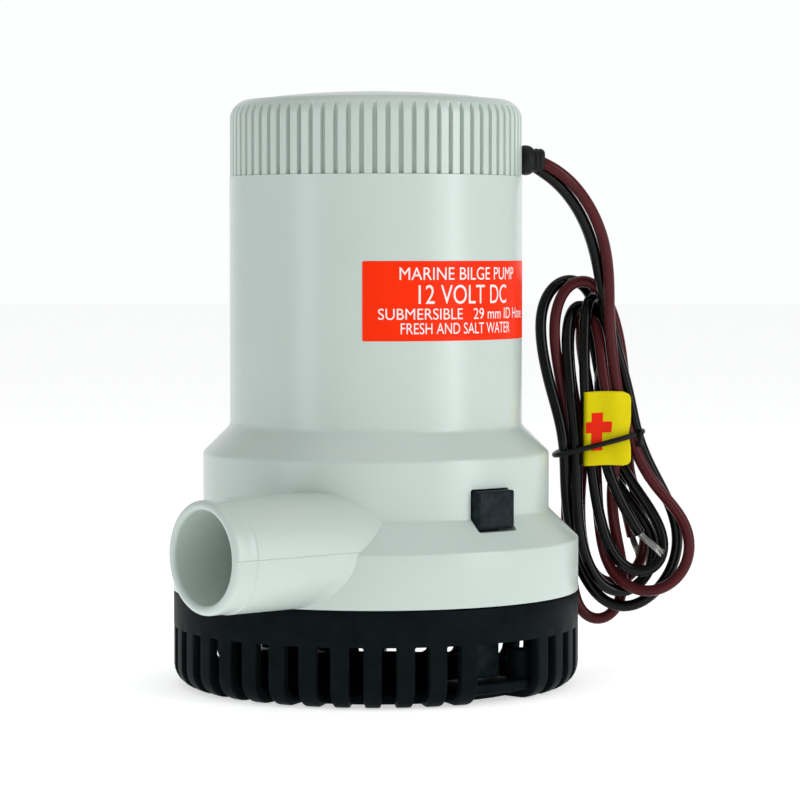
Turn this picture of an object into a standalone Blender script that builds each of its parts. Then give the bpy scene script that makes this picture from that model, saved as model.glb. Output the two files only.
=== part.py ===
"""Submersible bilge pump: motor housing with side outlet, clip-in strainer base, two-wire lead.

Origin on the pump's axis where the base stands, +Z up, outlet towards -Y, latch buttons at +X and -X.
"""
import math

import bmesh
import bpy
from mathutils import Matrix, Vector

MM = 0.001
GAP = 0.3 * MM

# Driving dimensions of the casing
BASE_RADIUS = 54.0 * MM
MID_RADIUS = 46.1 * MM
NECK_RADIUS = 38.9 * MM
WALL = 2.6 * MM
BASE_HEIGHT = 25.0 * MM
SKIRT_TOP = 39.2 * MM
MID_BOTTOM = 47.0 * MM
MID_TOP = 62.0 * MM
NECK_BOTTOM = 69.1 * MM
CAP_BOTTOM = 135.0 * MM
CAP_HEIGHT = 22.5 * MM
NECK_BORE = NECK_RADIUS - WALL

# Outlet for 29 mm hose
OUTLET_RADIUS = 14.5 * MM
OUTLET_BORE = 11.8 * MM
OUTLET_X = 24.0 * MM
OUTLET_Z = BASE_HEIGHT + GAP + OUTLET_RADIUS
OUTLET_MOUTH_Y = -75.5 * MM
OUTLET_ROOT_Y = -8.5 * MM

# Pump chamber under the motor
CHAMBER_BORE = 34.8 * MM
CHAMBER_RADIUS = 37.2 * MM
CHAMBER_BOTTOM = 24.5 * MM
DECK_BOTTOM = 52.0 * MM
DECK_TOP = 55.0 * MM
SEAL_BORE = 8.0 * MM
INLET_EYE = 15.0 * MM
SHAFT_RADIUS = 2.9 * MM
SHAFT_CLEAR = SHAFT_RADIUS + GAP

# Motor
MOTOR_RADIUS = 33.0 * MM
MOTOR_BOTTOM = 65.0 * MM
MOTOR_TOP = 130.0 * MM
CAN_WALL = 1.5 * MM
BEARING_RADIUS = 8.0 * MM

# Strainer
SLOT_PITCH = math.radians(9.0)
SLOT_WIDTH = 3.8 * MM
SLOT_TOP = 15.8 * MM
SLOT_ROOT = 43.0 * MM
FLOOR = 3.0 * MM
FLOOR_FILLET = 6.0 * MM
WINDOW_HALF_ANGLE = math.radians(11.0)

# Latch arms and their buttons
LATCH_INNER = 40.3 * MM
LATCH_OUTER = 42.8 * MM
LATCH_HALF_WIDTH = 6.0 * MM
LATCH_ROOT_Z = 5.3 * MM
BUTTON_FACE = 48.6 * MM
BUTTON_BOTTOM = 44.1 * MM
BUTTON_TOP = 54.1 * MM

# Two-wire lead, its gland and its hank
WIRE_RADIUS = 1.575 * MM
GLAND_ANGLE = math.radians(52.0)
GLAND_Z = 139.4 * MM
SIDE = Vector((math.sin(math.radians(40.0)), math.cos(math.radians(40.0)), 0.0))
FRONT = Vector((math.cos(math.radians(40.0)), -math.sin(math.radians(40.0)), 0.0))
HANK_FRONT = -18.0 * MM
HANK_DEPTH = 18.0 * MM


# ---------------------------------------------------------------- making shapes

def material(name, color, roughness, metallic=0.0):
    mat = bpy.data.materials.new(name)
    mat.use_nodes = True
    shader = mat.node_tree.nodes["Principled BSDF"]
    shader.inputs["Base Color"].default_value = (*color, 1.0)
    shader.inputs["Roughness"].default_value = roughness
    shader.inputs["Metallic"].default_value = metallic
    mat.diffuse_color = (*color, 1.0)
    return mat


def finish(name, bm, look, recalc=True):
    """Turn a bmesh into a named, smooth-shaded object."""
    if recalc:
        bmesh.ops.recalc_face_normals(bm, faces=bm.faces)
    mesh = bpy.data.meshes.new(name)
    bm.to_mesh(mesh)
    bm.free()
    mesh.shade_smooth()
    mesh.set_sharp_from_angle(angle=math.radians(35.0))
    obj = bpy.data.objects.new(name, mesh)
    bpy.context.scene.collection.objects.link(obj)
    if look is not None:
        mesh.materials.append(look)
    return obj


def arc(center, radius, start, end, steps):
    """Points of an arc from start to end degrees, both ends included."""
    points = []
    for i in range(steps + 1):
        angle = math.radians(start + (end - start) * i / steps)
        points.append((center[0] + radius * math.cos(angle), center[1] + radius * math.sin(angle)))
    return points


def add_turned(bm, profile, segments, matrix=Matrix()):
    """Revolve a closed (radius, height) outline about the local Z axis."""
    rings = []
    for radius, height in profile:
        if radius < 1e-9:
            rings.append([bm.verts.new(matrix @ Vector((0.0, 0.0, height)))])
            continue
        ring = []
        for i in range(segments):
            angle = 2.0 * math.pi * i / segments
            ring.append(bm.verts.new(matrix @ Vector((radius * math.cos(angle), radius * math.sin(angle), height))))
        rings.append(ring)
    for low, high in zip(rings, rings[1:] + rings[:1]):
        if len(low) == 1 and len(high) == 1:
            continue
        for i in range(segments):
            j = (i + 1) % segments
            if len(low) == 1:
                bm.faces.new((low[0], high[j], high[i]))
            elif len(high) == 1:
                bm.faces.new((low[i], low[j], high[0]))
            else:
                bm.faces.new((low[i], low[j], high[j], high[i]))


def turned(name, profile, look, segments=48, matrix=Matrix()):
    bm = bmesh.new()
    add_turned(bm, profile, segments, matrix)
    return finish(name, bm, look)


def ring(name, inner, outer, bottom, top, look, segments=36):
    """A plain tube or washer on the Z axis."""
    return turned(name, [(outer, bottom), (outer, top), (inner, top), (inner, bottom)], look, segments)


def add_prism(bm, outline, bottom, top, matrix=Matrix()):
    """Extrude a closed (x, y) outline from bottom to top along the local Z axis."""
    low = [bm.verts.new(matrix @ Vector((x, y, bottom))) for x, y in outline]
    high = [bm.verts.new(matrix @ Vector((x, y, top))) for x, y in outline]
    bm.faces.new(low)
    bm.faces.new(high)
    for i in range(len(outline)):
        j = (i + 1) % len(outline)
        bm.faces.new((low[i], low[j], high[j], high[i]))


def prism(name, outline, bottom, top, look, matrix=Matrix()):
    bm = bmesh.new()
    add_prism(bm, outline, bottom, top, matrix)
    return finish(name, bm, look)


def rectangle(x0, x1, y0, y1):
    return [(x0, y0), (x1, y0), (x1, y1), (x0, y1)]


def wedge(inner, outer, start, end, steps):
    """Outline of a ring sector between two angles in radians."""
    outline = []
    for i in range(steps + 1):
        angle = start + (end - start) * i / steps
        outline.append((outer * math.cos(angle), outer * math.sin(angle)))
    for i in range(steps, -1, -1):
        angle = start + (end - start) * i / steps
        outline.append((inner * math.cos(angle), inner * math.sin(angle)))
    return outline


def cylinder_profile(radius, bottom, top):
    return [(0.0, bottom), (radius, bottom), (radius, top), (0.0, top)]


def combine(target, operation, helper):
    """Add a Boolean modifier that uses a hidden helper solid."""
    helper.hide_render = True
    helper.display_type = "WIRE"
    modifier = target.modifiers.new(helper.name, "BOOLEAN")
    modifier.operation = operation
    modifier.solver = "EXACT"
    modifier.object = helper


def smooth_path(points, spacing):
    """Evenly spaced points on a Catmull-Rom curve through the given ones."""
    dense = []
    extended = [points[0] * 2 - points[1]] + points + [points[-1] * 2 - points[-2]]
    for a, b, c, d in zip(extended, extended[1:], extended[2:], extended[3:]):
        for i in range(16):
            t = i / 16
            dense.append(0.5 * (2 * b + (c - a) * t + (2 * a - 5 * b + 4 * c - d) * t * t
                                + (3 * b - a - 3 * c + d) * t * t * t))
    dense.append(points[-1])
    total = sum((b - a).length for a, b in zip(dense, dense[1:]))
    count = max(2, round(total / spacing))
    result = [dense[0]]
    walked = 0.0
    for a, b in zip(dense, dense[1:]):
        step = (b - a).length
        while len(result) < count and walked + step >= total * len(result) / count:
            result.append(a.lerp(b, (total * len(result) / count - walked) / step))
        walked += step
    result.append(dense[-1])
    return result


def tube(name, points, radius, look, cyclic=False, sides=2):
    """A round wire along a poly line, with filled ends."""
    data = bpy.data.curves.new(name, "CURVE")
    data.dimensions = "3D"
    spline = data.splines.new("POLY")
    spline.points.add(len(points) - 1)
    for target, point in zip(spline.points, points):
        target.co = (*point, 1.0)
    spline.use_cyclic_u = cyclic
    data.bevel_depth = radius
    data.bevel_resolution = sides
    data.use_fill_caps = not cyclic
    obj = bpy.data.objects.new(name, data)
    bpy.context.scene.collection.objects.link(obj)
    data.materials.append(look)
    return obj


# ---------------------------------------------------------------- strainer base and latches

def strainer_base(look):
    """Black slotted bowl that screws to the bilge floor and carries the pump."""
    corner = BASE_RADIUS - FLOOR_FILLET
    inner = BASE_RADIUS - WALL
    profile = [(0.0, 0.0)]
    profile += arc((corner, FLOOR_FILLET), FLOOR_FILLET, -90, 0, 4)
    rim = inner - 0.7 * MM
    profile += [(BASE_RADIUS, BASE_HEIGHT), (rim, BASE_HEIGHT), (rim, SLOT_TOP + 3.0 * MM), (inner, SLOT_TOP + 2.0 * MM)]
    profile += arc((corner, FLOOR_FILLET), FLOOR_FILLET - WALL, 0, -90, 3)
    profile += [(corner - 1.0 * MM, FLOOR), (0.0, FLOOR)]
    base = turned("strainer_base", profile, look, 40)

    pads = bmesh.new()
    tab_height = 4.5 * MM
    for side in (0.0, math.pi):
        pad = wedge(36.0 * MM, 51.0 * MM, side - 1.25 * WINDOW_HALF_ANGLE, side + 1.25 * WINDOW_HALF_ANGLE, 6)
        add_prism(pads, pad, 1.0 * MM, LATCH_ROOT_Z - GAP)
    for degrees in (60.0, 120.0, 240.0):
        middle = math.radians(degrees)
        tab = wedge(49.0 * MM, 51.0 * MM, middle - 0.15, middle + 0.15, 4)
        add_prism(pads, tab, BASE_HEIGHT - 3.0 * MM, BASE_HEIGHT + tab_height)
    combine(base, "UNION", finish("strainer_pads", pads, None))

    posts = bmesh.new()
    posts_at = [Matrix.Rotation(turn, 4, "Z") @ Matrix.Translation((45.4 * MM, 10.6 * MM, 0.0))
                for turn in (0.0, math.pi)]
    for place in posts_at:
        add_turned(posts, cylinder_profile(3.3 * MM, 2.6 * MM, 12.5 * MM), 16, place)
    combine(base, "UNION", finish("screw_posts", posts, None))

    cutters = bmesh.new()
    for k in range(40):
        if k % 20 in (19, 0, 1):
            continue
        turn = Matrix.Rotation(k * SLOT_PITCH, 4, "Z")
        slot = rectangle(SLOT_ROOT, BASE_RADIUS + 2.0 * MM, -SLOT_WIDTH / 2, SLOT_WIDTH / 2)
        add_prism(cutters, slot, -1.0 * MM, SLOT_TOP, turn)
    combine(base, "DIFFERENCE", finish("slot_cutters", cutters, None))

    windows = bmesh.new()
    for side in (0.0, math.pi):
        opening = wedge(50.6 * MM, 56.0 * MM, side - WINDOW_HALF_ANGLE, side + WINDOW_HALF_ANGLE, 4)
        add_prism(windows, opening, -1.0 * MM, SLOT_TOP)
    combine(base, "DIFFERENCE", finish("window_cutters", windows, None))

    recesses = bmesh.new()
    for side in (0.0, math.pi):
        recess = wedge(39.0 * MM, 57.0 * MM, side - WINDOW_HALF_ANGLE, side + WINDOW_HALF_ANGLE, 4)
        add_prism(recesses, recess, -2.0 * MM, 2.5 * MM)
    combine(base, "DIFFERENCE", finish("recess_cutters", recesses, None))

    screw_holes = bmesh.new()
    for place in posts_at:
        add_turned(screw_holes, cylinder_profile(1.6 * MM, -1.0 * MM, 14.0 * MM), 12, place)
    combine(base, "DIFFERENCE", finish("screw_hole_cutters", screw_holes, None))
    return base


def latch_arm(name, side, look):
    """Springy arm rooted on the strainer floor, with the release button at its top."""
    x_root = (LATCH_INNER + LATCH_OUTER) / 2
    bevel = 0.8 * MM
    face = BUTTON_FACE - x_root
    inner = LATCH_INNER - x_root
    outer = LATCH_OUTER - x_root
    bottom = BUTTON_BOTTOM - LATCH_ROOT_Z
    top = BUTTON_TOP - LATCH_ROOT_Z
    outline = [(inner, 0.0), (outer, 0.0), (outer, bottom), (face - bevel, bottom), (face, bottom + bevel),
               (face, top - bevel), (face - bevel, top), (inner + 0.6 * MM, top), (inner, top - 0.6 * MM)]
    standing = Matrix.Rotation(math.radians(90.0), 4, "X")
    arm = prism(name, outline, -LATCH_HALF_WIDTH, LATCH_HALF_WIDTH, look, standing)
    arm.location = (side * x_root, 0.0, LATCH_ROOT_Z)
    arm.rotation_euler = (0.0, 0.0, 0.0 if side > 0 else math.pi)
    return arm


# ---------------------------------------------------------------- grey housing and cap

def pump_housing(look):
    """Grey moulding: neck round the motor, pump chamber, skirt and side outlet."""
    bottom = BASE_HEIGHT + GAP
    skirt_bore = BASE_RADIUS - WALL
    mid_bore = MID_RADIUS - 2.4 * MM
    profile = [
        (NECK_RADIUS, CAP_BOTTOM - GAP),
        (NECK_RADIUS, NECK_BOTTOM),
        (MID_RADIUS, MID_TOP),
        (MID_RADIUS, MID_BOTTOM),
        (BASE_RADIUS, SKIRT_TOP),
        (BASE_RADIUS, bottom),
        (skirt_bore, bottom),
        (skirt_bore, SKIRT_TOP - 1.0 * MM),
        (mid_bore, MID_BOTTOM - 1.0 * MM),
        (mid_bore, MID_TOP - 1.3 * MM),
        (CHAMBER_RADIUS, MID_TOP + 5.0 * MM),
        (CHAMBER_RADIUS, CHAMBER_BOTTOM),
        (CHAMBER_BORE, CHAMBER_BOTTOM),
        (CHAMBER_BORE, DECK_BOTTOM),
        (SEAL_BORE, DECK_BOTTOM),
        (SEAL_BORE, 63.5 * MM),
        (SEAL_BORE + 2.5 * MM, 63.5 * MM),
        (SEAL_BORE + 2.5 * MM, DECK_TOP),
        (CHAMBER_BORE, DECK_TOP),
        (CHAMBER_BORE, 70.0 * MM),
        (NECK_BORE, 71.5 * MM),
        (NECK_BORE, CAP_BOTTOM - GAP),
    ]
    housing = turned("pump_housing", profile, look, 48)

    along_y = Matrix.Translation((OUTLET_X, 0.0, OUTLET_Z)) @ Matrix.Rotation(math.radians(-90.0), 4, "X")
    tube_profile = [(0.0, OUTLET_MOUTH_Y)]
    tube_profile += arc((OUTLET_RADIUS - 0.8 * MM, OUTLET_MOUTH_Y + 0.8 * MM), 0.8 * MM, -90, 0, 2)
    tube_profile += [(OUTLET_RADIUS, OUTLET_ROOT_Y), (0.0, OUTLET_ROOT_Y)]
    outlet = turned("outlet_tube", tube_profile, None, 32, along_y)
    keep_out = turned("chamber_space", cylinder_profile(36.0 * MM, 20.0 * MM, 60.0 * MM), None, 40)
    combine(outlet, "DIFFERENCE", keep_out)
    combine(housing, "UNION", outlet)

    bosses = bmesh.new()
    for degrees in (45.0, 135.0, 225.0):
        place = Matrix.Rotation(math.radians(degrees), 4, "Z") @ Matrix.Translation((40.2 * MM, 0.0, 0.0))
        add_turned(bosses, cylinder_profile(3.7 * MM, CHAMBER_BOTTOM, 36.0 * MM), 16, place)
    combine(housing, "UNION", finish("screw_bosses", bosses, None))

    bore = turned("outlet_bore", cylinder_profile(OUTLET_BORE, OUTLET_MOUTH_Y - 3.0 * MM, OUTLET_ROOT_Y - 1.5 * MM),
                  None, 32, along_y)
    combine(housing, "DIFFERENCE", bore)

    windows = bmesh.new()
    clear = 0.5 * MM
    for side in (0.0, math.pi):
        opening = rectangle(41.0 * MM, 60.0 * MM, -LATCH_HALF_WIDTH - clear, LATCH_HALF_WIDTH + clear)
        turn = Matrix.Rotation(side, 4, "Z")
        add_prism(windows, opening, BUTTON_BOTTOM - clear, BUTTON_TOP + clear, turn)
    combine(housing, "DIFFERENCE", finish("latch_windows", windows, None))

    holes = bmesh.new()
    for degrees in (45.0, 135.0, 225.0):
        place = Matrix.Rotation(math.radians(degrees), 4, "Z") @ Matrix.Translation((40.2 * MM, 0.0, 0.0))
        add_turned(holes, cylinder_profile(1.9 * MM, CHAMBER_BOTTOM - 2.0 * MM, 34.0 * MM), 12, place)
    combine(housing, "DIFFERENCE", finish("boss_holes", holes, None))
    return housing


def top_cap(look):
    """Press-on lid with a spigot that seals inside the neck."""
    shoulder = CAP_BOTTOM + CAP_HEIGHT - 6.0 * MM
    top = CAP_BOTTOM + CAP_HEIGHT
    corner = 3.6 * MM
    spigot = NECK_BORE - GAP
    spigot_bore = MOTOR_RADIUS + 0.5 * MM
    groove = spigot - 1.3 * MM
    profile = [(NECK_RADIUS, CAP_BOTTOM)]
    profile += arc((NECK_RADIUS - corner, shoulder), corner, 0, 75, 4)
    profile += [(24.0 * MM, top - 0.9 * MM), (12.0 * MM, top - 0.2 * MM), (0.0, top)]
    profile += [(0.0, top - WALL), (24.0 * MM, top - 0.9 * MM - WALL), (NECK_BORE - 2.0 * MM, shoulder + 0.6 * MM),
                (NECK_BORE, shoulder - 1.5 * MM), (NECK_BORE, CAP_BOTTOM + 0.9 * MM),
                (spigot_bore + 1.0 * MM, CAP_BOTTOM), (spigot_bore, CAP_BOTTOM - 0.6 * MM),
                (spigot_bore, CAP_BOTTOM - 5.0 * MM), (spigot, CAP_BOTTOM - 5.0 * MM),
                (spigot, CAP_BOTTOM - 3.4 * MM), (groove, CAP_BOTTOM - 3.4 * MM), (groove, CAP_BOTTOM - 1.6 * MM),
                (spigot, CAP_BOTTOM - 1.6 * MM), (spigot, CAP_BOTTOM)]
    cap = turned("top_cap", profile, look, 48)
    outward = gland_frame()
    hole = turned("gland_hole", cylinder_profile(3.1 * MM, 30.0 * MM, 45.0 * MM), None, 16, outward)
    combine(cap, "DIFFERENCE", hole)
    return cap


def gland_frame():
    """Local Z runs outward along the gland's axis, from the pump's axis."""
    return (Matrix.Translation((0.0, 0.0, GLAND_Z)) @ Matrix.Rotation(GLAND_ANGLE, 4, "Z")
            @ Matrix.Rotation(math.radians(90.0), 4, "Y"))


def cable_gland(look):
    """Rubber boot snapped into the cap's wall, one collar inside and a dome outside."""
    inner_face = NECK_BORE - 2.0 * MM
    profile = [(0.0, inner_face), (3.45 * MM, inner_face), (3.45 * MM, NECK_BORE - 0.5 * MM),
               (2.8 * MM, NECK_BORE - 0.5 * MM),
               (2.8 * MM, NECK_RADIUS + GAP), (3.85 * MM, NECK_RADIUS + GAP), (3.85 * MM, NECK_RADIUS + 2.9 * MM),
               (3.5 * MM, NECK_RADIUS + 3.5 * MM), (3.45 * MM, NECK_RADIUS + 5.0 * MM),
               (2.8 * MM, NECK_RADIUS + 5.7 * MM), (0.0, NECK_RADIUS + 5.9 * MM)]
    return turned("cable_gland", profile, look, 20, gland_frame())


# ---------------------------------------------------------------- pump chamber

def volute_plate(look):
    """Closes the chamber from below, with the round inlet in its middle."""
    bottom = 21.8 * MM
    top = CHAMBER_BOTTOM - GAP
    lip = 3.0 * MM
    plate = turned("volute_plate", [(INLET_EYE, bottom - lip), (INLET_EYE + 1.6 * MM, bottom - lip),
                                    (INLET_EYE + 1.6 * MM, bottom), (CHAMBER_RADIUS, bottom), (CHAMBER_RADIUS, top),
                                    (INLET_EYE, top)], look, 36)
    ears = bmesh.new()
    holes = bmesh.new()
    for degrees in (45.0, 135.0, 225.0):
        place = Matrix.Rotation(math.radians(degrees), 4, "Z") @ Matrix.Translation((40.2 * MM, 0.0, 0.0))
        add_turned(ears, cylinder_profile(3.7 * MM, bottom, top), 16, place)
        add_turned(holes, cylinder_profile(1.9 * MM, bottom - lip, top + lip), 12, place)
    combine(plate, "UNION", finish("plate_ears", ears, None))
    combine(plate, "DIFFERENCE", finish("plate_holes", holes, None))
    return plate


def plate_screw(name, degrees, look):
    """Pan-head screw that holds the volute plate to a housing boss."""
    head_top = 21.8 * MM - GAP
    profile = [(0.0, head_top - 2.0 * MM), (2.4 * MM, head_top - 2.0 * MM), (3.1 * MM, head_top - 1.2 * MM),
               (3.1 * MM, head_top), (1.6 * MM, head_top), (1.6 * MM, 32.0 * MM), (0.0, 33.0 * MM)]
    place = Matrix.Rotation(math.radians(degrees), 4, "Z") @ Matrix.Translation((40.2 * MM, 0.0, 0.0))
    return turned(name, profile, look, 12, place)


def impeller(look):
    """Six swept vanes hanging under a round shroud, moulded round the hub."""
    bottom = 28.0 * MM
    top = 46.0 * MM
    shroud = top - 2.5 * MM
    radius = 28.0 * MM
    body = turned("impeller", [(SHAFT_CLEAR, bottom), (6.5 * MM, bottom), (8.0 * MM, shroud), (radius, shroud),
                               (radius, top), (SHAFT_CLEAR, top)], look, 36)
    vanes = bmesh.new()
    for k in range(6):
        start = 2.0 * math.pi * k / 6
        inner_side = []
        outer_side = []
        for i in range(7):
            reach = 7.0 * MM + (radius - 7.5 * MM) * i / 6
            sweep = start - 0.9 * i / 6
            half = 0.9 * MM / reach
            inner_side.append((reach * math.cos(sweep - half), reach * math.sin(sweep - half)))
            outer_side.append((reach * math.cos(sweep + half), reach * math.sin(sweep + half)))
        add_prism(vanes, inner_side + outer_side[::-1], bottom + 2.0 * MM, shroud + 1.0 * MM)
    combine(body, "UNION", finish("impeller_vanes", vanes, None))
    return body


def impeller_nut(look):
    hexagon = [(5.0 * MM * math.cos(math.radians(60 * k)), 5.0 * MM * math.sin(math.radians(60 * k))) for k in range(6)]
    nut = prism("impeller_nut", hexagon, 25.2 * MM, 27.7 * MM, look)
    combine(nut, "DIFFERENCE", turned("nut_bore", cylinder_profile(SHAFT_CLEAR, 20.0 * MM, 30.0 * MM), None, 24))
    return nut


# ---------------------------------------------------------------- motor

def motor_can(look):
    inner = MOTOR_RADIUS - CAN_WALL
    seat = BEARING_RADIUS + GAP
    profile = [(seat, MOTOR_BOTTOM), (MOTOR_RADIUS, MOTOR_BOTTOM), (MOTOR_RADIUS, MOTOR_TOP), (inner, MOTOR_TOP),
               (inner, MOTOR_BOTTOM + CAN_WALL), (seat + 1.9 * MM, MOTOR_BOTTOM + CAN_WALL),
               (seat + 1.9 * MM, MOTOR_BOTTOM + 6.5 * MM), (seat, MOTOR_BOTTOM + 6.5 * MM)]
    return turned("motor_can", profile, look, 36)


def motor_end_bell(look):
    """Steel lid of the motor, with the upper bearing's seat and two holes for the leads."""
    bottom = MOTOR_TOP + GAP
    top = bottom + 1.7 * MM
    seat = BEARING_RADIUS + GAP
    profile = [(seat, bottom), (MOTOR_RADIUS, bottom), (MOTOR_RADIUS, top), (seat + 2.2 * MM, top),
               (seat + 2.2 * MM, top + 5.5 * MM), (4.0 * MM, top + 5.5 * MM), (4.0 * MM, top + 4.8 * MM),
               (seat, top + 4.8 * MM)]
    bell = turned("motor_end_bell", profile, look, 36)
    holes = bmesh.new()
    for start in lead_starts():
        add_turned(holes, cylinder_profile(2.0 * MM, 120.0 * MM, 140.0 * MM), 12, Matrix.Translation((*start.xy, 0.0)))
    combine(bell, "DIFFERENCE", finish("lead_holes", holes, None))
    return bell


def lead_starts():
    """Where the two leads rise from the brush card, either side of the gland's direction."""
    spots = []
    for offset in (-10.0, 10.0):
        angle = GLAND_ANGLE + math.radians(offset)
        spots.append(Vector((21.0 * MM * math.cos(angle), 21.0 * MM * math.sin(angle), 128.4 * MM)))
    return spots


def inner_lead(name, start, lift, look):
    """Lead from the brush card through the end bell to the gland's inner face."""
    outward = Vector((math.cos(GLAND_ANGLE), math.sin(GLAND_ANGLE), 0.0))
    end = outward * (NECK_BORE - 2.0 * MM - GAP) + Vector((0.0, 0.0, GLAND_Z + lift))
    route = [start, start + Vector((0.0, 0.0, 5.0 * MM)), start.lerp(end, 0.5) + Vector((0.0, 0.0, 2.5 * MM)),
             end - outward * 3.0 * MM, end]
    return tube(name, smooth_path(route, 2.0 * MM), 1.1 * MM, look)


def armature_core(look):
    """Laminated stack with eight winding slots."""
    teeth = 8
    half_stem = 3.0 * MM
    outline = []
    for k in range(teeth):
        middle = 2.0 * math.pi * k / teeth
        for reach, offset in ((10.0, -1), (21.0, -1)):
            angle = middle + offset * math.asin(half_stem / (reach * MM))
            outline.append((reach * MM * math.cos(angle), reach * MM * math.sin(angle)))
        for reach, degrees in ((22.5, -17.0), (26.3, -17.0), (26.3, -8.5), (26.3, 0.0), (26.3, 8.5), (26.3, 17.0),
                               (22.5, 17.0)):
            angle = middle + math.radians(degrees)
            outline.append((reach * MM * math.cos(angle), reach * MM * math.sin(angle)))
        for reach in (21.0, 10.0):
            angle = middle + math.asin(half_stem / (reach * MM))
            outline.append((reach * MM * math.cos(angle), reach * MM * math.sin(angle)))
    core = prism("armature_core", outline, 79.0 * MM, 106.0 * MM, look)
    combine(core, "DIFFERENCE", turned("core_bore", cylinder_profile(SHAFT_CLEAR, 70.0 * MM, 110.0 * MM), None, 24))
    return core


def armature_winding(look):
    """Copper coils as two overhangs joined by a bundle through each slot."""
    winding = ring("armature_winding", 11.5 * MM, 22.5 * MM, 106.3 * MM, 113.0 * MM, look, 32)
    lower = ring("lower_overhang", 11.5 * MM, 22.5 * MM, 72.0 * MM, 78.7 * MM, None, 32)
    combine(winding, "UNION", lower)
    bundles = bmesh.new()
    for k in range(8):
        angle = math.radians(22.5 + 45.0 * k)
        place = Matrix.Translation((17.6 * MM * math.cos(angle), 17.6 * MM * math.sin(angle), 0.0))
        add_turned(bundles, cylinder_profile(3.0 * MM, 77.5 * MM, 107.5 * MM), 10, place)
    combine(winding, "UNION", finish("slot_bundles", bundles, None))
    return winding


def commutator(look):
    """Copper drum with eight cut segments."""
    drum = ring("commutator", SHAFT_CLEAR, 9.0 * MM, 115.0 * MM, 125.0 * MM, look, 32)
    cuts = bmesh.new()
    for k in range(8):
        turn = Matrix.Rotation(math.radians(22.5 + 45.0 * k), 4, "Z")
        add_prism(cuts, rectangle(7.5 * MM, 10.0 * MM, -0.3 * MM, 0.3 * MM), 116.5 * MM, 126.0 * MM, turn)
    combine(drum, "DIFFERENCE", finish("segment_cuts", cuts, None))
    return drum


def brush_card(look):
    """Insulating disc that carries the two brush boxes."""
    bottom = 126.3 * MM
    card = ring("brush_card", 5.0 * MM, MOTOR_RADIUS - CAN_WALL - GAP, bottom, bottom + 1.7 * MM, look, 40)
    boxes = bmesh.new()
    spaces = bmesh.new()
    for side in (0.0, math.pi):
        turn = Matrix.Rotation(side, 4, "Z")
        add_prism(boxes, rectangle(11.5 * MM, 26.0 * MM, -4.6 * MM, 4.6 * MM), 115.4 * MM, bottom + 0.8 * MM, turn)
        add_prism(spaces, rectangle(10.0 * MM, 24.6 * MM, -3.3 * MM, 3.3 * MM), 116.7 * MM, 123.3 * MM, turn)
    combine(card, "UNION", finish("brush_boxes", boxes, None))
    combine(card, "DIFFERENCE", finish("brush_spaces", spaces, None))
    return card


def carbon_brush(name, side, look):
    return prism(name, rectangle(*sorted((side * 9.4 * MM, side * 17.0 * MM)), -3.0 * MM, 3.0 * MM),
                 117.0 * MM, 123.0 * MM, look)


def brush_spring(name, side, look):
    """Compression spring between the brush and the end of its box."""
    turns = 4
    steps = 8
    points = []
    for i in range(turns * steps + 1):
        angle = 2.0 * math.pi * i / steps
        reach = 17.8 * MM + 6.0 * MM * i / (turns * steps)
        points.append(Vector((side * reach, 2.2 * MM * math.cos(angle), 120.0 * MM + 2.2 * MM * math.sin(angle))))
    return tube(name, points, 0.35 * MM, look, sides=1)


# ---------------------------------------------------------------- lead, hank and what is on it

def at(side, front, height):
    """A place given in mm to the lead's side of the pump, towards its front, and up."""
    return SIDE * (side * MM) + FRONT * (front * MM) + Vector((0.0, 0.0, height * MM))


def lead_route(shift, lift):
    """From the gland's face out, over and down to the top of the hank."""
    outward = Vector((math.cos(GLAND_ANGLE), math.sin(GLAND_ANGLE), 0.0))
    face = outward * (NECK_RADIUS + 5.9 * MM + 2 * GAP) + Vector((0.0, 0.0, GLAND_Z))
    middle = [face, face + outward * 3.0 * MM, at(51.0, -3.0, 136.6), at(55.4, -6.0, 130.6), at(59.0, -10.0, 123.3),
              at(61.4, -15.0, 116.0), at(62.6, -20.5, 110.0)]
    route = []
    for i, point in enumerate(middle):
        behind = middle[max(i - 1, 0)]
        ahead = middle[min(i + 1, len(middle) - 1)]
        normal = (ahead - behind).cross(FRONT).normalized()
        route.append(point - normal * shift)
    route[-1].z = 110.0 * MM
    return route


def hank_solid(look):
    """Outer shape of the folded lead: an outline with round ends, narrow at the tie."""
    corners = [(56, 109.0), (64, 105), (67, 96), (68.5, 80), (71.5, 66), (76, 60), (84, 48), (88, 36), (83, 24),
               (73, 17), (62, 14.5), (54.5, 18), (52, 28), (52, 44), (50, 57), (47.5, 66), (45, 80), (44.5, 96),
               (48, 105)]
    closed = [Vector((side * MM, height * MM, 0.0)) for side, height in corners + corners[:1]]
    outline = [(point.x, point.y) for point in smooth_path(closed, 6.0 * MM)[:-1]]
    return prism("wire_hank", outline, HANK_FRONT - HANK_DEPTH, HANK_FRONT, look, hank_frame())


def hank_frame():
    """Local X runs to the lead's side, local Y up and local Z towards the front."""
    return Matrix(((SIDE.x, 0.0, FRONT.x, 0.0), (SIDE.y, 0.0, FRONT.y, 0.0), (0.0, 1.0, 0.0, 0.0),
                   (0.0, 0.0, 0.0, 1.0)))


def hank_tie(look):
    """Thin tie round the hank's waist, over the tag."""
    front = HANK_FRONT / MM + 2.3
    back = (HANK_FRONT - HANK_DEPTH) / MM - 1.7
    left, right = 47.4, 73.8
    loop = []
    for side, depth in ((left, front - 2.6), (left + 2.0, front), (60.0, front), (right - 2.0, front),
                        (right, front - 2.6), (right, back + 2.6), (right - 2.0, back), (60.0, back),
                        (left + 2.0, back), (left, back + 2.6)):
        loop.append(at(side, depth, 59.2 + 6.6 * (side - left) / (right - left)))
    return tube("hank_tie", loop, 0.7 * MM, look, cyclic=True)


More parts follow.
